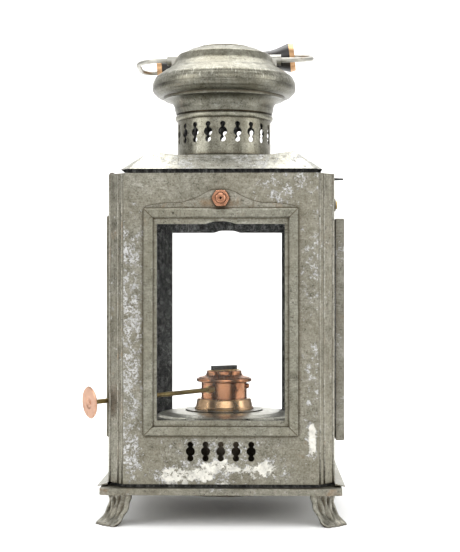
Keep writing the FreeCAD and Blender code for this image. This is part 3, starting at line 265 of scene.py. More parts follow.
def tin(name, seed, gain=1.0, tint=PLAIN, rust=0.5, paint=None, polar=False, metal=0.80, rough=0.40,
        soot_side=Shader.inner_side, lines=None, glints_at=None, rust_at=None, scratch=(1.0, 1.0, 7.0),
        drag_share=0.16, grime_and_shade=0.72):
    """Old tinned sheet: cloudy grey, fine specks and drag marks, rust bloom, flaked paint, soot inside.

    paint, lines, glints_at and rust_at take the shader and give a map of where each one lies.
    """
    s = Shader(name, seed, polar)
    mottle = s.noise(MOTTLE, 8, 0.74, seed=3)
    drag = s.noise(DRAG, 6, 0.66, stretch=scratch, seed=7, grain=True)
    colour = bare_sheet(s, gain, tint, mottle, drag, drag_share)
    glints = s.times(s.step(s.noise(GLINT, 4, 0.76, seed=15), 0.63, 0.69), s.step(mottle, 0.46, 0.60))
    if glints_at:
        glints = s.most(glints, glints_at(s))
    colour = s.blend(s.times(glints, 0.70), colour, shade(BRIGHT_TIN, gain * 1.35, tint))
    patches = s.noise(RUST_PATCH, 6, 0.66, twist=1.2, seed=17)
    bloom = s.times(s.step(patches, 0.66 - 0.16 * rust, 0.78 - 0.10 * rust), s.step(mottle, 0.38, 0.56))
    if rust_at:
        bloom = s.most(bloom, rust_at(s))
    stain = s.ramp(s.noise(GRAIN, 5, 0.7, seed=19), [(0.35, shade(RUST, 0.45)), (0.65, shade(RUST, 1.25))])
    colour = s.blend(s.times(bloom, min(1.0, 0.30 + rust * 0.45)), colour, stain)
    bare = s.inverse(s.times(bloom, 0.75))
    height = s.math("ADD", s.times(mottle, 0.55), s.times(drag, 0.45))
    gloss = s.math("ADD", s.times(mottle, 0.36), rough - 0.18)
    if paint:
        cover, coat = painted(s, paint(s))
        colour = s.blend(cover, colour, coat)
        bare = s.times(bare, s.inverse(cover))
        height = s.math("ADD", height, s.times(cover, 0.9))
        gloss = s.lerp(cover, gloss, 0.78)
    if lines:
        groove = lines(s)
        colour = s.blend(s.times(groove, 0.8), colour, shade(RUST, 0.30))
        height = s.math("SUBTRACT", height, s.times(groove, 1.2))
    # Ambient occlusion darkens corners and recesses: partly grime, partly painted shade.
    wide_grime_and_shade = s.times(s.step(s.crevice(WIDE_CREVICE), 0.86, 0.40), grime_and_shade)
    tight_grime_and_shade = s.times(s.step(s.crevice(TIGHT_CREVICE), 0.90, 0.60), grime_and_shade * 1.15)
    colour = s.blend(wide_grime_and_shade, colour, GRIME_AND_SHADE)
    colour = s.blend(tight_grime_and_shade, colour, DEEP_GRIME_AND_SHADE)
    if soot_side:
        inside = soot_side(s)
        lamp_black = s.ramp(s.noise(SOOT_GRAIN, 7, 0.78, stretch=(1.0, 1.0, 0.6), seed=31), [
            (0.40, SOOT), (0.51, (0.055, 0.055, 0.053)), (0.61, (0.19, 0.19, 0.185))])
        colour = s.blend(inside, colour, lamp_black)
        bare = s.times(bare, s.inverse(s.times(inside, 0.9)))
        gloss = s.lerp(inside, gloss, 0.72)
    s.bump(height, 0.60, 0.4 * MM)
    return s.finish(colour, gloss, s.times(bare, metal))


def front_paint(s):
    """Paint survives along the foot of the front, in a patch low on its right and thinly up its edges."""
    wander = s.times(s.math("SUBTRACT", s.noise(15 * MM, 4, 0.6, seed=71), 0.5), 34 * MM)
    rise = s.math("ADD", s.z, wander)
    foot = s.times(s.band(rise, 26.5 * MM, 38.5 * MM, 4 * MM), s.band(s.x, -44 * MM, 42 * MM, 12 * MM), 1.25)
    vents = s.times(s.band(s.z, 38 * MM, 53 * MM, 3 * MM), s.band(s.x, -36 * MM, 34 * MM, 8 * MM), 0.62)
    patch = s.times(s.band(s.x, 54.5 * MM, 59.5 * MM, 2.5 * MM), s.band(s.z, 43 * MM, 64 * MM, 5 * MM), 1.9)
    left = s.times(s.step(s.x, -45 * MM, -54 * MM), s.band(s.z, 30 * MM, 190 * MM, 20 * MM), 0.98)
    right = s.times(s.step(s.x, 48 * MM, 56 * MM), s.band(s.z, 45 * MM, 205 * MM, 20 * MM), 0.45)
    top = s.times(s.step(s.z, 196 * MM, 206 * MM), s.step(s.x, 15 * MM, 35 * MM), 0.60)
    return s.most(foot, patch, left, right, top, vents)


def post_paint(s):
    """Thin remains in patches up the corner posts."""
    worn = s.step(s.noise(22 * MM, 3, 0.6, seed=47), 0.50, 0.64)
    return s.times(worn, s.band(s.z, 50 * MM, 205 * MM, 20 * MM), 0.45)


def light_paint(s):
    """Thin remains in patches anywhere."""
    return s.times(s.step(s.noise(18 * MM, 3, 0.6, seed=53), 0.52, 0.66), 0.45)


def roof_paint(s):
    """Broad thin remains on the roof."""
    return s.times(s.step(s.noise(30 * MM, 4, 0.6, seed=59), 0.42, 0.58), 0.80)


PANEL_HALF = 27.4 * MM
PANEL_INNER = 52 * MM
PANEL_OUTER = 60 * MM


def roof_lines(s):
    """Pressed lines of the shallow panels in the front and rear slopes."""
    side = s.math("ABSOLUTE", s.x)
    run = s.math("ABSOLUTE", s.y)
    edge = 0.2 * MM
    upright = s.times(s.band(side, PANEL_HALF - edge, PANEL_HALF + edge, edge),
                      s.band(run, PANEL_INNER, PANEL_OUTER, 2 * edge))
    level = s.times(s.step(side, PANEL_HALF + edge, PANEL_HALF - edge),
                    s.most(s.band(run, PANEL_INNER - edge, PANEL_INNER + edge, edge),
                           s.band(run, PANEL_OUTER - edge, PANEL_OUTER + edge, edge)))
    return s.times(s.most(upright, level), 0.45)


def nut_rust(s):
    """Rust run under the brace round the front nut."""
    from_nut = s.inverse(s.step(s.math("ABSOLUTE", s.x), 4 * MM, 34 * MM))
    edge = s.band(s.z, 199 * MM, 203.5 * MM, 2 * MM)
    return s.times(from_nut, edge, s.step(s.noise(5 * MM, 5, 0.7, seed=67), 0.42, 0.55), 0.8)


def fount_dark_below_sill(s):
    """Dark brown on the part of the fount that stands below the window."""
    return s.step(s.z, 60 * MM, 53 * MM)


def bead_glints(s):
    """Fine upright scratches where the cap's bead turns over, painted as bright glints: wear and painted
    highlight.
    """
    start = low("crown_dome").z
    scratches = s.noise(1 * MM, 4, 0.7, stretch=(1.0, 0.15, 0.14), seed=61, grain=True)
    return s.times(s.step(scratches, 0.55, 0.62), s.band(s.z, start + 1.5 * MM, start + 7.5 * MM, 1.5 * MM))


def mitre_lines(node, across, up):
    """Fine joint lines where a frame's rails meet at 45 degrees. across names the frame's level axis."""
    centre, half = middle(node), (high(node) - low(node)) / 2
    level = 0 if across == "x" else 1

    def from_edge(s, place, centre_line, half_size):
        return s.math("SUBTRACT", s.math("ABSOLUTE", s.math("SUBTRACT", place, centre_line)), half_size)

    def build(s):
        side = from_edge(s, s.x if across == "x" else s.y, centre[level], half[level])
        gap = s.math("ABSOLUTE", s.math("SUBTRACT", side, from_edge(s, s.z, up, half.z)))
        on_rail = s.step(side, -6.2 * MM, -5.6 * MM)
        return s.times(s.step(gap, 0.45 * MM, 0.15 * MM), on_rail)
    return build


def soot_black(name, seed):
    s = Shader(name, seed)
    dust = s.noise(2.6 * MM, 7, 0.80, stretch=(1.0, 1.0, 0.6))
    colour = s.ramp(dust, [(0.42, SOOT), (0.54, (0.050, 0.049, 0.045)), (0.65, (0.17, 0.17, 0.16))])
    s.bump(dust, 0.5, 0.3 * MM)
    return s.finish(colour, s.lerp(dust, 0.85, 0.6), 0.35)


def metal_finish(name, seed, clean, dull, dark, rough=0.32, wear=0.5, polar=False, cloud=8 * MM,
                 relief=0.35):
    """Copper, brass or steel with tarnish clouds, fine turning or drag lines, and crevices darkened with
    grime and painted shade.
    """
    s = Shader(name, seed, polar)
    tarnish = s.noise(cloud, 6, 0.60, twist=0.8, grain=True)
    fine = s.noise(1.2 * MM, 4, 0.6, seed=3)
    lines = s.noise(1.2 * MM, 3, 0.6, stretch=(0.15, 0.15, 3.0), seed=9, grain=True)
    colour = s.blend(s.step(tarnish, 0.62 - 0.3 * wear, 0.72), clean, dull)
    colour = s.blend(s.times(s.step(fine, 0.60, 0.74), s.step(tarnish, 0.42, 0.6), 0.75), colour, dark)
    # Ambient occlusion darkens the crevices: grime and painted shade.
    grime_and_shade = s.step(s.crevice(3 * MM), 0.75, 0.30)
    colour = s.blend(s.times(grime_and_shade, 0.75), colour, dark)
    height = s.math("ADD", s.times(lines, 0.6), s.times(fine, 0.4))
    s.bump(height, relief, 0.15 * MM)
    gloss = s.math("ADD", s.times(tarnish, 0.28), rough - 0.12)
    return s.finish(colour, gloss, 0.95)


def window_glass(name):
    """Clear old glass with a thin film and specks, showing more of itself at grazing angles."""
    s = Shader(name, 2.0)
    film = s.step(s.noise(35 * MM, 5, 0.6, twist=0.5), 0.45, 0.80)
    specks = s.step(s.noise(1.6 * MM, 4, 0.75, seed=4), 0.66, 0.74)
    haze = s.math("ADD", s.times(film, 0.02), s.times(specks, 0.08))
    facing = s.node("ShaderNodeLayerWeight", {"Blend": 0.25}).outputs["Facing"]
    grazing = s.times(s.math("POWER", facing, 3.0), 0.40)
    s.feed(s.math("ADD", s.math("ADD", haze, 0.006), grazing, clamp=True), s.surface.inputs["Alpha"])
    s.surface.inputs["IOR"].default_value = 1.5
    s.bump(s.noise(20 * MM, 2, 0.4, seed=8), 0.12, 0.4 * MM)
    colour = s.blend(haze, (0.80, 0.84, 0.82), (0.62, 0.62, 0.58))
    material = s.finish(colour, s.lerp(haze, 0.05, 0.4), 0.0)
    material.surface_render_method = "BLENDED"
    return material


def charred_wick(name):
    """Woven cotton, charred over its top few millimetres."""
    s = Shader(name, 6.0)
    top = high("wick").z
    ragged = s.math("ADD", s.z, s.times(s.noise(3 * MM, 4, 0.7), 4 * MM))
    char = s.step(ragged, top - 6 * MM, top - 1 * MM)
    weave = s.node("ShaderNodeTexWave", {"Vector": s.place, "Scale": 260.0, "Distortion": 1.5, "Detail": 2.0},
                   bands_direction="DIAGONAL").outputs["Fac"]
    cotton = s.ramp(weave, [(0.2, (0.20, 0.17, 0.12)), (0.8, (0.46, 0.42, 0.33))])
    burnt = s.ramp(s.noise(1.1 * MM, 4, 0.8), [(0.4, (0.012, 0.011, 0.010)), (0.7, (0.10, 0.095, 0.085))])
    s.bump(weave, 0.6, 0.3 * MM)
    return s.finish(s.blend(char, cotton, burnt), 0.92, 0.0)


def turned_black(name):
    """Black-stained turned wood, rubbed brown on its proud parts."""
    s = Shader(name, 9.0)
    along = s.noise(10 * MM, 6, 0.7, stretch=(0.35, 3.0, 3.0))
    rub = s.step(s.noise(9 * MM, 6, 0.7, seed=4), 0.56, 0.70)
    colour = s.ramp(along, [(0.35, (0.006, 0.005, 0.005)), (0.65, (0.022, 0.018, 0.015))])
    colour = s.blend(s.times(rub, 0.45), colour, (0.075, 0.045, 0.026))
    s.bump(along, 0.35, 0.3 * MM)
    return s.finish(colour, s.lerp(rub, 0.30, 0.5), 0.0)


def studio_white(name):
    s = Shader(name)
    cloud = s.noise(0.4, 2, 0.5)
    colour = s.ramp(cloud, [(0.3, (0.90, 0.90, 0.895)), (0.7, (0.93, 0.93, 0.925))])
    s.bump(s.noise(3 * MM, 3, 0.6), 0.02, 0.2 * MM)
    return s.finish(colour, 0.85, 0.0)


# ---- mesh building --------------------------------------------------------

def add_mesh(name, verts, faces, material, body, replaces=()):
    """A smooth-shaded piece that rides on a body of the frame."""
    mesh = bpy.data.meshes.new(name)
    mesh.from_pydata([tuple(v) for v in verts], [], faces)
    mesh.validate()
    work = bmesh.new()
    work.from_mesh(mesh)
    bmesh.ops.recalc_face_normals(work, faces=work.faces)
    work.to_mesh(mesh)
    work.free()
    mesh.polygons.foreach_set("use_smooth", [True] * len(mesh.polygons))
    piece = bpy.data.objects.new(name, mesh)
    bpy.context.scene.collection.objects.link(piece)
    piece.data.materials.append(material)
    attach(piece, body)
    if replaces:
        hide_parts(*replaces)
    return piece


def rounded(profile, steps=5, share=0.30):
    """Rounds the corners of a closed profile with short quadratic curves."""
    made = []
    count = len(profile)
    for number, here in enumerate(profile):
        here = Vector(here)
        before = Vector(profile[number - 1])
        after = Vector(profile[(number + 1) % count])
        a = here.lerp(before, share)
        b = here.lerp(after, share)
        for step in range(steps + 1):
            t = step / steps
            made.append((1 - t) ** 2 * a + 2 * t * (1 - t) * here + t ** 2 * b)
    return made


def lathe(name, profile, place, material, body, turns=96, ripple=None, replaces=()):
    """Turns a closed (radius, height) profile round place, a matrix whose Z is the turning axis."""
    verts, faces = [], []
    rows = len(profile)
    for turn in range(turns):
        angle = math.tau * turn / turns
        for number, (radius, height) in enumerate(profile):
            if ripple:
                radius = radius + ripple(angle, radius)
            verts.append(place @ Vector((radius * math.cos(angle), radius * math.sin(angle), height)))
    for turn in range(turns):
        here, there = turn * rows, ((turn + 1) % turns) * rows
        for number in range(rows):
            after = (number + 1) % rows
            faces.append((here + number, there + number, there + after, here + after))
    return add_mesh(name, verts, faces, material, body, replaces=replaces)


def tube(name, path, radius, material, body, sides=10):
    """A round bar with flat ends along a list of points."""
    verts, faces = [], []
    last = len(path) - 1
    for number, point in enumerate(path):
        ahead = path[min(number + 1, last)] - path[max(number - 1, 0)]
        ahead.normalize()
        side = ahead.cross(Vector((0, 0, 1)))
        if side.length < 0.1:
            side = ahead.cross(Vector((0, 1, 0)))
        side.normalize()
        up = side.cross(ahead)
        for turn in range(sides):
            angle = math.tau * turn / sides
            verts.append(point + side * radius * math.cos(angle) + up * radius * math.sin(angle))
    for number in range(last):
        here, there = number * sides, (number + 1) * sides
        for turn in range(sides):
            after = (turn + 1) % sides
            faces.append((here + turn, here + after, there + after, there + turn))
    faces.append(tuple(range(sides))[::-1])
    faces.append(tuple(last * sides + turn for turn in range(sides)))
    return add_mesh(name, verts, faces, material, body)


# ---- finishes for the CAD nodes -------------------------------------------

def dress(node, material):
    slots = NODES[node].data.materials
    slots.clear()
    slots.append(material)


CORNERS = {"front_left": (-1, -1), "front_right": (1, -1), "rear_left": (-1, 1), "rear_right": (1, 1)}


def dress_case():
    walls = {"front": (1.0, front_paint), "left": (2.3, light_paint), "rear": (3.7, light_paint),
             "right": (4.9, light_paint)}
    for side, (seed, paint) in walls.items():
        dress(f"wall_{side}", tin(f"tin_wall_{side}", seed, gain=0.90, tint=WARM, rust=0.40, paint=paint,
                                  rust_at=nut_rust if side == "front" else None))
    for number, corner in enumerate(CORNERS):
        dress(f"corner_post_{corner}", tin(f"tin_post_{corner}", 6.0 + number, gain=0.90, tint=WARM,
                                           rust=0.55, paint=post_paint, scratch=(5.0, 5.0, 0.8)))
    for side, across in (("front", "x"), ("left", "y"), ("rear", "x")):
        node = f"window_frame_{side}"
        dress(node, tin(f"tin_frame_{side}", 11.0 + len(side), gain=0.88, tint=OLIVE, rust=0.45,
                        lines=mitre_lines(node, across, middle(node).z)))
    dress("door_frame", tin("tin_door_frame", 15.5, gain=0.88, rust=0.45, paint=light_paint,
                            lines=mitre_lines("door_frame", "y", middle("door_glass").z)))
    dress("base_plate", tin("tin_base", 17.0, gain=0.85, tint=WARM, rust=0.85, paint=light_paint,
                            soot_side=None))
    dress("side_aprons", tin("tin_aprons", 18.0, gain=1.2, rust=0.4, soot_side=None))
    dress("window_braces", tin("tin_braces", 19.0, gain=0.92, tint=WARM, rust=0.8, rust_at=nut_rust))
    # The fount's sheet is made much lighter and cooler than the walls' sheet: painted highlight.
    dress("oil_fount", tin("tin_fount", 21.0, gain=1.65, tint=(0.98, 1.0, 1.01), rust=0.15, soot_side=None,
                           rough=0.32, metal=0.9, polar=True, lines=fount_dark_below_sill))
    dress("fount_neck_ring", tin("tin_neck_ring", 41.0, gain=1.05, rust=0.3, soot_side=None, rough=0.34,
                                 metal=0.9, polar=True))
    dark = soot_black("soot", 22.0)
    for node in ("case_seat", "top_deck", "glass_guides", "lid_curb", "lid_thumb_tab", "fount_ring"):
        dress(node, dark)


def dress_lid():
    dress("lid_roof", tin("tin_roof", 25.0, gain=1.42, tint=COOL, rust=0.15, rough=0.32, metal=0.88,
                          paint=roof_paint, lines=roof_lines, soot_side=Shader.under_side))
    # The chimney's grooves and corners are darkened more strongly: grime and painted shade.
    chimney = {"vent_collar": 0.93, "collar_band": 0.95, "crown_pan": 0.55, "crown_dome": 0.82,
               "cap_disc": 1.0}
    for number, (node, gain) in enumerate(chimney.items()):
        dress(node, tin(f"tin_{node}", 27.0 + number, gain=gain, tint=OLIVE, rust=0.25, polar=True,
                        metal=0.92, rough=0.35, scratch=(3.2, 3.2, 0.5), grime_and_shade=0.85,
                        glints_at=bead_glints if node == "crown_dome" else None,
                        soot_side=Shader.inner_side if node == "vent_collar" else None))


def dress_metals():
    """Finishes the fittings and gives back the two coppers for the detailed pieces."""
    copper = metal_finish("copper_nut", 31.0, (0.44, 0.22, 0.135), (0.22, 0.10, 0.055), (0.04, 0.02, 0.012),
                          rough=0.24, wear=0.7)
    knob_copper = metal_finish("copper_knob", 32.0, (0.54, 0.32, 0.22), (0.44, 0.25, 0.17),
                               (0.14, 0.06, 0.04), rough=0.36)
    burner_copper = metal_finish("copper_burner", 33.0, (0.50, 0.24, 0.125), (0.27, 0.115, 0.058),
                                 (0.04, 0.02, 0.014), rough=0.24, wear=0.8, polar=True, cloud=20 * MM,
                                 relief=0.14)
    gold_copper = metal_finish("copper_foot", 34.0, (0.66, 0.43, 0.24), (0.42, 0.25, 0.12),
                               (0.07, 0.04, 0.02), rough=0.27, wear=0.6, polar=True, cloud=20 * MM,
                               relief=0.14)
    brass = metal_finish("brass_aged", 35.0, (0.55, 0.40, 0.17), (0.33, 0.22, 0.09), (0.07, 0.05, 0.025),
                         rough=0.33, wear=0.7, polar=True)
    rod_brass = metal_finish("brass_rod", 36.0, (0.40, 0.30, 0.12), (0.22, 0.16, 0.07), (0.05, 0.035, 0.02),
                             rough=0.40, wear=0.8)
    ferrule = metal_finish("brass_ferrule", 37.0, (0.52, 0.32, 0.17), (0.30, 0.16, 0.08), (0.06, 0.03, 0.02),
                           rough=0.34, wear=0.9)
    steel = metal_finish("steel_plain", 39.0, (0.42, 0.41, 0.37), (0.30, 0.28, 0.24), (0.07, 0.05, 0.035),
                         rough=0.38, wear=0.6)
    dark_steel = metal_finish("steel_dark", 40.0, (0.25, 0.24, 0.21), (0.17, 0.15, 0.12),
                              (0.05, 0.035, 0.025), rough=0.42, wear=0.7)
    finishes = (
        (copper, ("cap_nuts",)),
        (knob_copper, ("wick_knob",)),
        (burner_copper, ("burner_gallery", "burner_cone")),
        (gold_copper, ("burner_foot",)),
        (brass, ("wick_tube", "star_wheels", "spindle_bush", "latch_pivot")),
        (rod_brass, ("spindle_rod",)),
        (ferrule, ("grip_ferrules",)),
        (steel, ("bail_wire", "bail_ears", "cap_legs")),
        (dark_steel, ("latch_button", "case_hinge_leaves", "door_hinge_leaves", "door_hinge_pins",
                      "case_lid_hinge_leaf", "lid_hinge_leaf", "lid_hinge_pin")),
        (window_glass("glass_window"), ("glass_front", "glass_left", "glass_rear", "door_glass")),
        (charred_wick("wick_cotton"), ("wick",)),
        (turned_black("wood_black"), ("bail_grip",)))
    for material, nodes in finishes:
        for node in nodes:
            dress(node, material)
    return copper, burner_copper


# ---- detailed pieces ------------------------------------------------------

# leaf foot, in millimetres
FOOT_REACH = 93.0
FOOT_SPLAY = 10.0
FOOT_HALF = 11.2
FOOT_TAPER = 2.3
FOOT_WAIST = 0.7
FOOT_PINCH = 1.3
FOOT_SHEET = 1.7
FOOT_FLUTES = 5
FLUTE_DEPTH = 0.62
LEAF_DEPTH = 0.50
LEAF_GAIN = 1.25
MIDRIB_DEPTH = 0.75
CURL_DEPTH = 1.1
CROWN_DEPTH = 1.1
RIM_DEPTH = 0.5
SCALLOP_DEPTH = 0.55
BARB_DEPTH = 0.45
FACE_SET_BACK = 1.3
FOOT_COLUMNS = 56
FOOT_ROWS = 48


def hump(place, centre, width):
    """A rounded ridge, 1 high at its centre."""
    return math.exp(-((place - centre) / width) ** 2)


def foot_relief(across, along):
    """How far the leaf's flutes, veins, midrib, curled toe and rim stand out of its face."""
    lift = math.sin(math.pi * min(1.0, along + 0.10))
    flute = FLUTE_DEPTH * math.cos(math.pi * FOOT_FLUTES * across) * (0.25 + 0.75 * lift)
    veins = math.cos(math.pi * (3.2 * along + 2.2 * abs(across)))
    leaf = LEAF_DEPTH * veins * lift * (1.0 - abs(across) ** 4)
    midrib = MIDRIB_DEPTH * hump(across, 0.0, 0.10) * (1.0 - 0.4 * along)
    curl = CURL_DEPTH * hump(along, 0.95, 0.07)
    rim = RIM_DEPTH * hump(abs(across), 0.94, 0.06)
    return LEAF_GAIN * (flute + leaf) + midrib + curl + rim


def foot_point(across, along, back, top):
    """A point of the leaf foot. across runs -1 to 1, along 0 at the plate to 1 at the toe."""
    pinch = FOOT_PINCH * math.sin(math.pi * along)
    waist = FOOT_WAIST * math.sin(math.pi * min(1.0, along * 1.2))
    toe = max(0.0, along - 0.82) / 0.18
    scallop = SCALLOP_DEPTH * abs(math.sin(math.pi * FOOT_FLUTES / 2 * (across + 1))) * toe
    barb = BARB_DEPTH * abs(across) ** 3 * math.sin(math.pi * 5 * along)
    crown = CROWN_DEPTH * (1.0 - across ** 2) - FACE_SET_BACK
    reach = FOOT_REACH + FOOT_SPLAY * along ** 1.9 - pinch + crown + scallop
    reach += -FOOT_SHEET if back else foot_relief(across, along)
    half = FOOT_HALF - FOOT_TAPER * along - waist + barb
    return Vector((reach * MM, half * across * MM, top * (1.0 - along)))


def foot_faces():
    """Faces of the leaf's front, its back and the rim between them."""
    faces = []
    wide = FOOT_COLUMNS + 1
    back = wide * (FOOT_ROWS + 1)
    for row in range(FOOT_ROWS):
        for column in range(FOOT_COLUMNS):
            a = row * wide + column
            faces.append((a, a + 1, a + 1 + wide, a + wide))
            faces.append((back + a, back + a + wide, back + a + 1 + wide, back + a + 1))
        for edge in (row * wide, row * wide + FOOT_COLUMNS):
            faces.append((edge, edge + wide, back + edge + wide, back + edge))
    for column in range(FOOT_COLUMNS):
        for start in (column, FOOT_ROWS * wide + column):
            faces.append((start, start + 1, back + start + 1, back + start))
    return faces


def make_feet(material):
    """Cast leaf feet, fluted and curled at the toe."""
    faces = foot_faces()
    for corner in CORNERS:
        node = f"foot_{corner}"
        centre = middle(node)
        turn = Matrix.Rotation(math.atan2(centre.y, centre.x), 4, "Z")
        top = high(node).z
        verts = []
        for back in (False, True):
            for row in range(FOOT_ROWS + 1):
                for column in range(FOOT_COLUMNS + 1):
                    across = 2.0 * column / FOOT_COLUMNS - 1.0
                    verts.append(turn @ foot_point(across, row / FOOT_ROWS, back, top))
        add_mesh(f"leaf_foot_{corner}", verts, faces, material, "case", replaces=(node,))


NUT_CORNERS = 5.8 * MM
NUT_THICK = 3.6 * MM
NUT_CHAMFER = NUT_CORNERS * 0.13
NUT_FACE = NUT_CORNERS * 0.86
NUT_TURN = 0.2
BOLT_RADIUS = 3.2 * MM
BOLT_RISE = 1.4 * MM
BOLT_SEAT = 0.4 * MM
CORE = 0.4 * MM


def hexagon_radius(angle):
    """Distance from the axis to the flat at an angle, for a nut with one corner at angle 0."""
    sector = math.pi / 3
    apothem = NUT_CORNERS * math.cos(sector / 2)
    return apothem / math.cos((angle % sector) - sector / 2)


def make_cap_nuts(material):
    """Chamfered hexagon nuts with the bolt's domed and pitted end standing out of them."""
    inner = BOLT_RADIUS * 1.12
    bolt_top = NUT_THICK + BOLT_RISE
    profile = rounded([
        (CORE, 0.0), (NUT_CORNERS, 0.0), (NUT_CORNERS, NUT_THICK - NUT_CHAMFER), (NUT_FACE, NUT_THICK),
        (inner, NUT_THICK), (BOLT_RADIUS, NUT_THICK - BOLT_SEAT), (BOLT_RADIUS, NUT_THICK + BOLT_RISE * 0.5),
        (BOLT_RADIUS * 0.72, bolt_top), (BOLT_RADIUS * 0.30, bolt_top),
        (CORE, NUT_THICK + BOLT_RISE * 0.45)], 4, 0.18)

    def flats(angle, radius):
        return min(0.0, hexagon_radius(angle) - radius) if radius > inner else 0.0
    depth = -low("window_braces").y
    apothem = hexagon_radius(math.pi / 6)
    above_frame = high("cap_nuts").z - apothem - high("window_frame_front").z
    for number, (side, turn) in enumerate((("front", 0), ("rear", 180), ("left", 270))):
        height = high(f"window_frame_{side}").z + above_frame
        place = (Matrix.Rotation(math.radians(turn), 4, "Z") @ Matrix.Translation((0, -depth, height))
                 @ Matrix.Rotation(math.pi / 2, 4, "X") @ Matrix.Rotation(NUT_TURN * number, 4, "Z"))
        lathe(f"hex_nut_{side}", profile, place, material, "case", ripple=flats,
              replaces=("cap_nuts",) if number == 0 else ())


SEAM_RADIUS = 0.8 * MM
SEAM_SINK = 0.2 * MM
SEAM_STEPS = 6
SEAM_SHARES = {"a": 0.10, "b": 0.36, "c": 0.90}


def make_post_seams(material):
    """Rolled folds that run up each cut corner. The shares run from the wall's edge across the cut."""
    node = "corner_post_front_left"
    outer = -low(node).x
    inner = high("wall_front").x
    bottom, top = low(node).z, high(node).z
    for corner, (sx, sy) in CORNERS.items():
        for label, share in SEAM_SHARES.items():
            x = (inner + (outer - inner) * share - SEAM_SINK) * sx
            y = (outer - (outer - inner) * share - SEAM_SINK) * sy
            path = [Vector((x, y, bottom + (top - bottom) * step / SEAM_STEPS))
                    for step in range(SEAM_STEPS + 1)]
            tube(f"seam_{corner}_{label}", path, SEAM_RADIUS, material, "case")


GALLERY_SIDE = 15.4 * MM
PIN_RADIUS = 1.7 * MM
PIN_ABOVE_MIDDLE = 1.2 * MM
PIN_ANGLE = math.radians(-12)
CATCH_ANGLE = math.radians(-62)
CATCH_SWEEP = math.radians(9)
CATCH_RISE = 2.2 * MM
CATCH_DROP = 5.0 * MM
CATCH_RADIUS = 0.6 * MM
CATCH_STEPS = 8
BEAD_RADIUS = 1.1 * MM
BEAD_BELOW_TOP = 2.2 * MM
BEAD_PROUD = 0.2 * MM


def make_burner_details(copper):
    """Bayonet pin, slanting catch and rolled bead on the gallery."""
    height = middle("burner_gallery").z + PIN_ABOVE_MIDDLE
    side = (Matrix.Rotation(PIN_ANGLE, 4, "Z") @ Matrix.Translation((GALLERY_SIDE, 0, height))
            @ Matrix.Rotation(math.pi / 2, 4, "Y"))
    pin = rounded([(0.2 * MM, -0.8 * MM), (PIN_RADIUS, -0.8 * MM), (PIN_RADIUS, 1.4 * MM),
                   (1.1 * MM, 1.9 * MM), (0.2 * MM, 2.0 * MM)], 4, 0.3)
    lathe("gallery_pin", pin, side, copper, "case", turns=32)
    path = []
    for step in range(CATCH_STEPS + 1):
        share = step / CATCH_STEPS
        angle = CATCH_ANGLE + CATCH_SWEEP * share
        path.append(Vector((GALLERY_SIDE * math.cos(angle), GALLERY_SIDE * math.sin(angle),
                            height + CATCH_RISE - CATCH_DROP * share)))
    tube("gallery_catch", path, CATCH_RADIUS, copper, "case")
    outer = high("burner_gallery").x + BEAD_PROUD
    bead_height = high("burner_gallery").z - BEAD_BELOW_TOP
    square = [(outer - BEAD_RADIUS, bead_height - BEAD_RADIUS), (outer, bead_height - BEAD_RADIUS),
              (outer, bead_height + BEAD_RADIUS), (outer - BEAD_RADIUS, bead_height + BEAD_RADIUS)]
    lathe("gallery_bead", rounded(square, 6, 0.5), Matrix(), copper, "case")


# ---- studio ---------------------------------------------------------------

SWEEP_HALF_WIDTH = 3.0
SWEEP_FRONT = -2.2
SWEEP_BACK = 1.4
SWEEP_BEND = 0.8
SWEEP_TOP = 3.2
SWEEP_STEPS = 16


def make_stage():
    """A pale sweep: level floor that curves up behind the lantern."""
    line = [(SWEEP_FRONT, 0.0), (SWEEP_BACK, 0.0)]
    for number in range(1, SWEEP_STEPS + 1):
        angle = math.pi / 2 * number / SWEEP_STEPS
        line.append((SWEEP_BACK + SWEEP_BEND * math.sin(angle), SWEEP_BEND - SWEEP_BEND * math.cos(angle)))
    line.append((SWEEP_BACK + SWEEP_BEND, SWEEP_TOP))
    verts, faces = [], []
    for y, z in line:
        verts += [(-SWEEP_HALF_WIDTH, y, z), (SWEEP_HALF_WIDTH, y, z)]
    for number in range(len(line) - 1):
        a = number * 2
        faces.append((a, a + 1, a + 3, a + 2))
    mesh = bpy.data.meshes.new("sweep")
    mesh.from_pydata(verts, [], faces)
    mesh.polygons.foreach_set("use_smooth", [True] * len(mesh.polygons))
    floor = bpy.data.objects.new("sweep", mesh)
    bpy.context.scene.collection.objects.link(floor)
    floor.data.materials.append(studio_white("stage_white"))


LANTERN_MIDDLE = (0, 0, 0.16)
BACKDROP = (0.0, 2.1, 0.4)
# each soft box: where it stands, what it faces, its width and height, its power in watts
SOFT_BOXES = {
    "top_box": ((0.0, 0.25, 1.35), LANTERN_MIDDLE, (1.3, 1.1), 17.0),
    "left_box": ((-1.15, -0.75, 0.65), LANTERN_MIDDLE, (0.8, 1.1), 9.0),
    "right_box": ((1.20, -0.45, 0.55), LANTERN_MIDDLE, (0.7, 1.0), 6.0),
    "front_fill": ((0.25, -1.8, 0.85), LANTERN_MIDDLE, (1.2, 0.9), 8.0),
    "back_wash": ((0.0, 0.9, 1.5), BACKDROP, (2.4, 0.8), 26.0)}


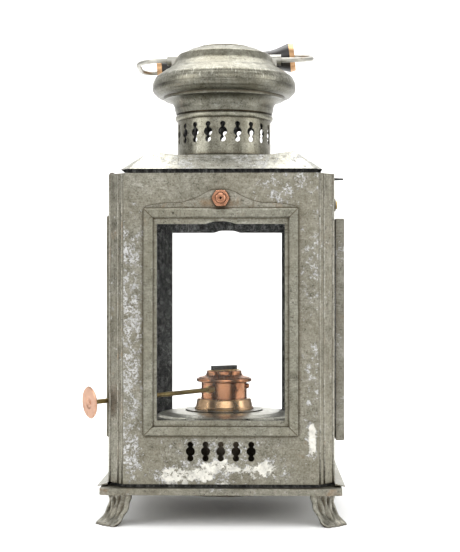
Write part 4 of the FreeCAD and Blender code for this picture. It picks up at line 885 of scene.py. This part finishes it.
def make_lights():
    for name, (place, target, size, power) in SOFT_BOXES.items():
        data = bpy.data.lights.new(name, "AREA")
        data.shape = "RECTANGLE"
        data.size, data.size_y = size
        data.energy = power
        light = bpy.data.objects.new(name, data)
        light.location = place
        light.rotation_euler = (Vector(target) - Vector(place)).to_track_quat("-Z", "Y").to_euler()
        bpy.context.scene.collection.objects.link(light)


def make_world():
    """Even studio surroundings, darker below the horizon."""
    world = bpy.data.worlds.new("studio")
    world.use_nodes = True
    tree = world.node_tree
    back = tree.nodes["Background"]
    coords = tree.nodes.new("ShaderNodeTexCoord")
    parts = tree.nodes.new("ShaderNodeSeparateXYZ")
    ramp = tree.nodes.new("ShaderNodeValToRGB")
    tree.links.new(coords.outputs["Generated"], parts.inputs[0])
    tree.links.new(parts.outputs["Z"], ramp.inputs[0])
    tree.links.new(ramp.outputs[0], back.inputs["Color"])
    ramp.color_ramp.elements[0].color = (0.42, 0.42, 0.42, 1)
    ramp.color_ramp.elements[1].color = (0.95, 0.95, 0.94, 1)
    back.inputs["Strength"].default_value = 1.0
    bpy.context.scene.world = world


CAMERA_SIDE = 0.027
CAMERA_HEIGHT = 0.150
CAMERA_DISTANCE = 0.835
SENSOR_HEIGHT = 36.0
LENS = 87.261
# how far the camera turns aside and up, for each metre straight ahead
TURN_LEFT = 0.02541
TURN_UP = 0.00673


def make_camera():
    data = bpy.data.cameras.new("camera")
    data.sensor_fit = "VERTICAL"
    data.sensor_height = SENSOR_HEIGHT
    data.lens = LENS
    data.clip_start, data.clip_end = 0.01, 30.0
    camera = bpy.data.objects.new("camera", data)
    camera.location = (CAMERA_SIDE, low("wall_front").y - CAMERA_DISTANCE, CAMERA_HEIGHT)
    aim = Vector((-TURN_LEFT, 1.0, TURN_UP))
    camera.rotation_euler = aim.to_track_quat("-Z", "Y").to_euler()
    bpy.context.scene.collection.objects.link(camera)
    bpy.context.scene.camera = camera


bpy.context.scene.view_settings.view_transform = "Standard"
make_camera()
make_stage()
make_lights()
make_world()
dress_case()
dress_lid()
nut_copper, burner_copper = dress_metals()
# The feet's hollows are darkened strongly: painted shade in the leaf relief, with some grime.
make_feet(tin("tin_feet", 45.0, gain=1.0, rust=0.4, soot_side=None, rough=0.34, grime_and_shade=0.95))
make_cap_nuts(nut_copper)
make_post_seams(tin("tin_seams", 47.0, gain=1.15, rust=0.9, soot_side=None))
make_burner_details(burner_copper)
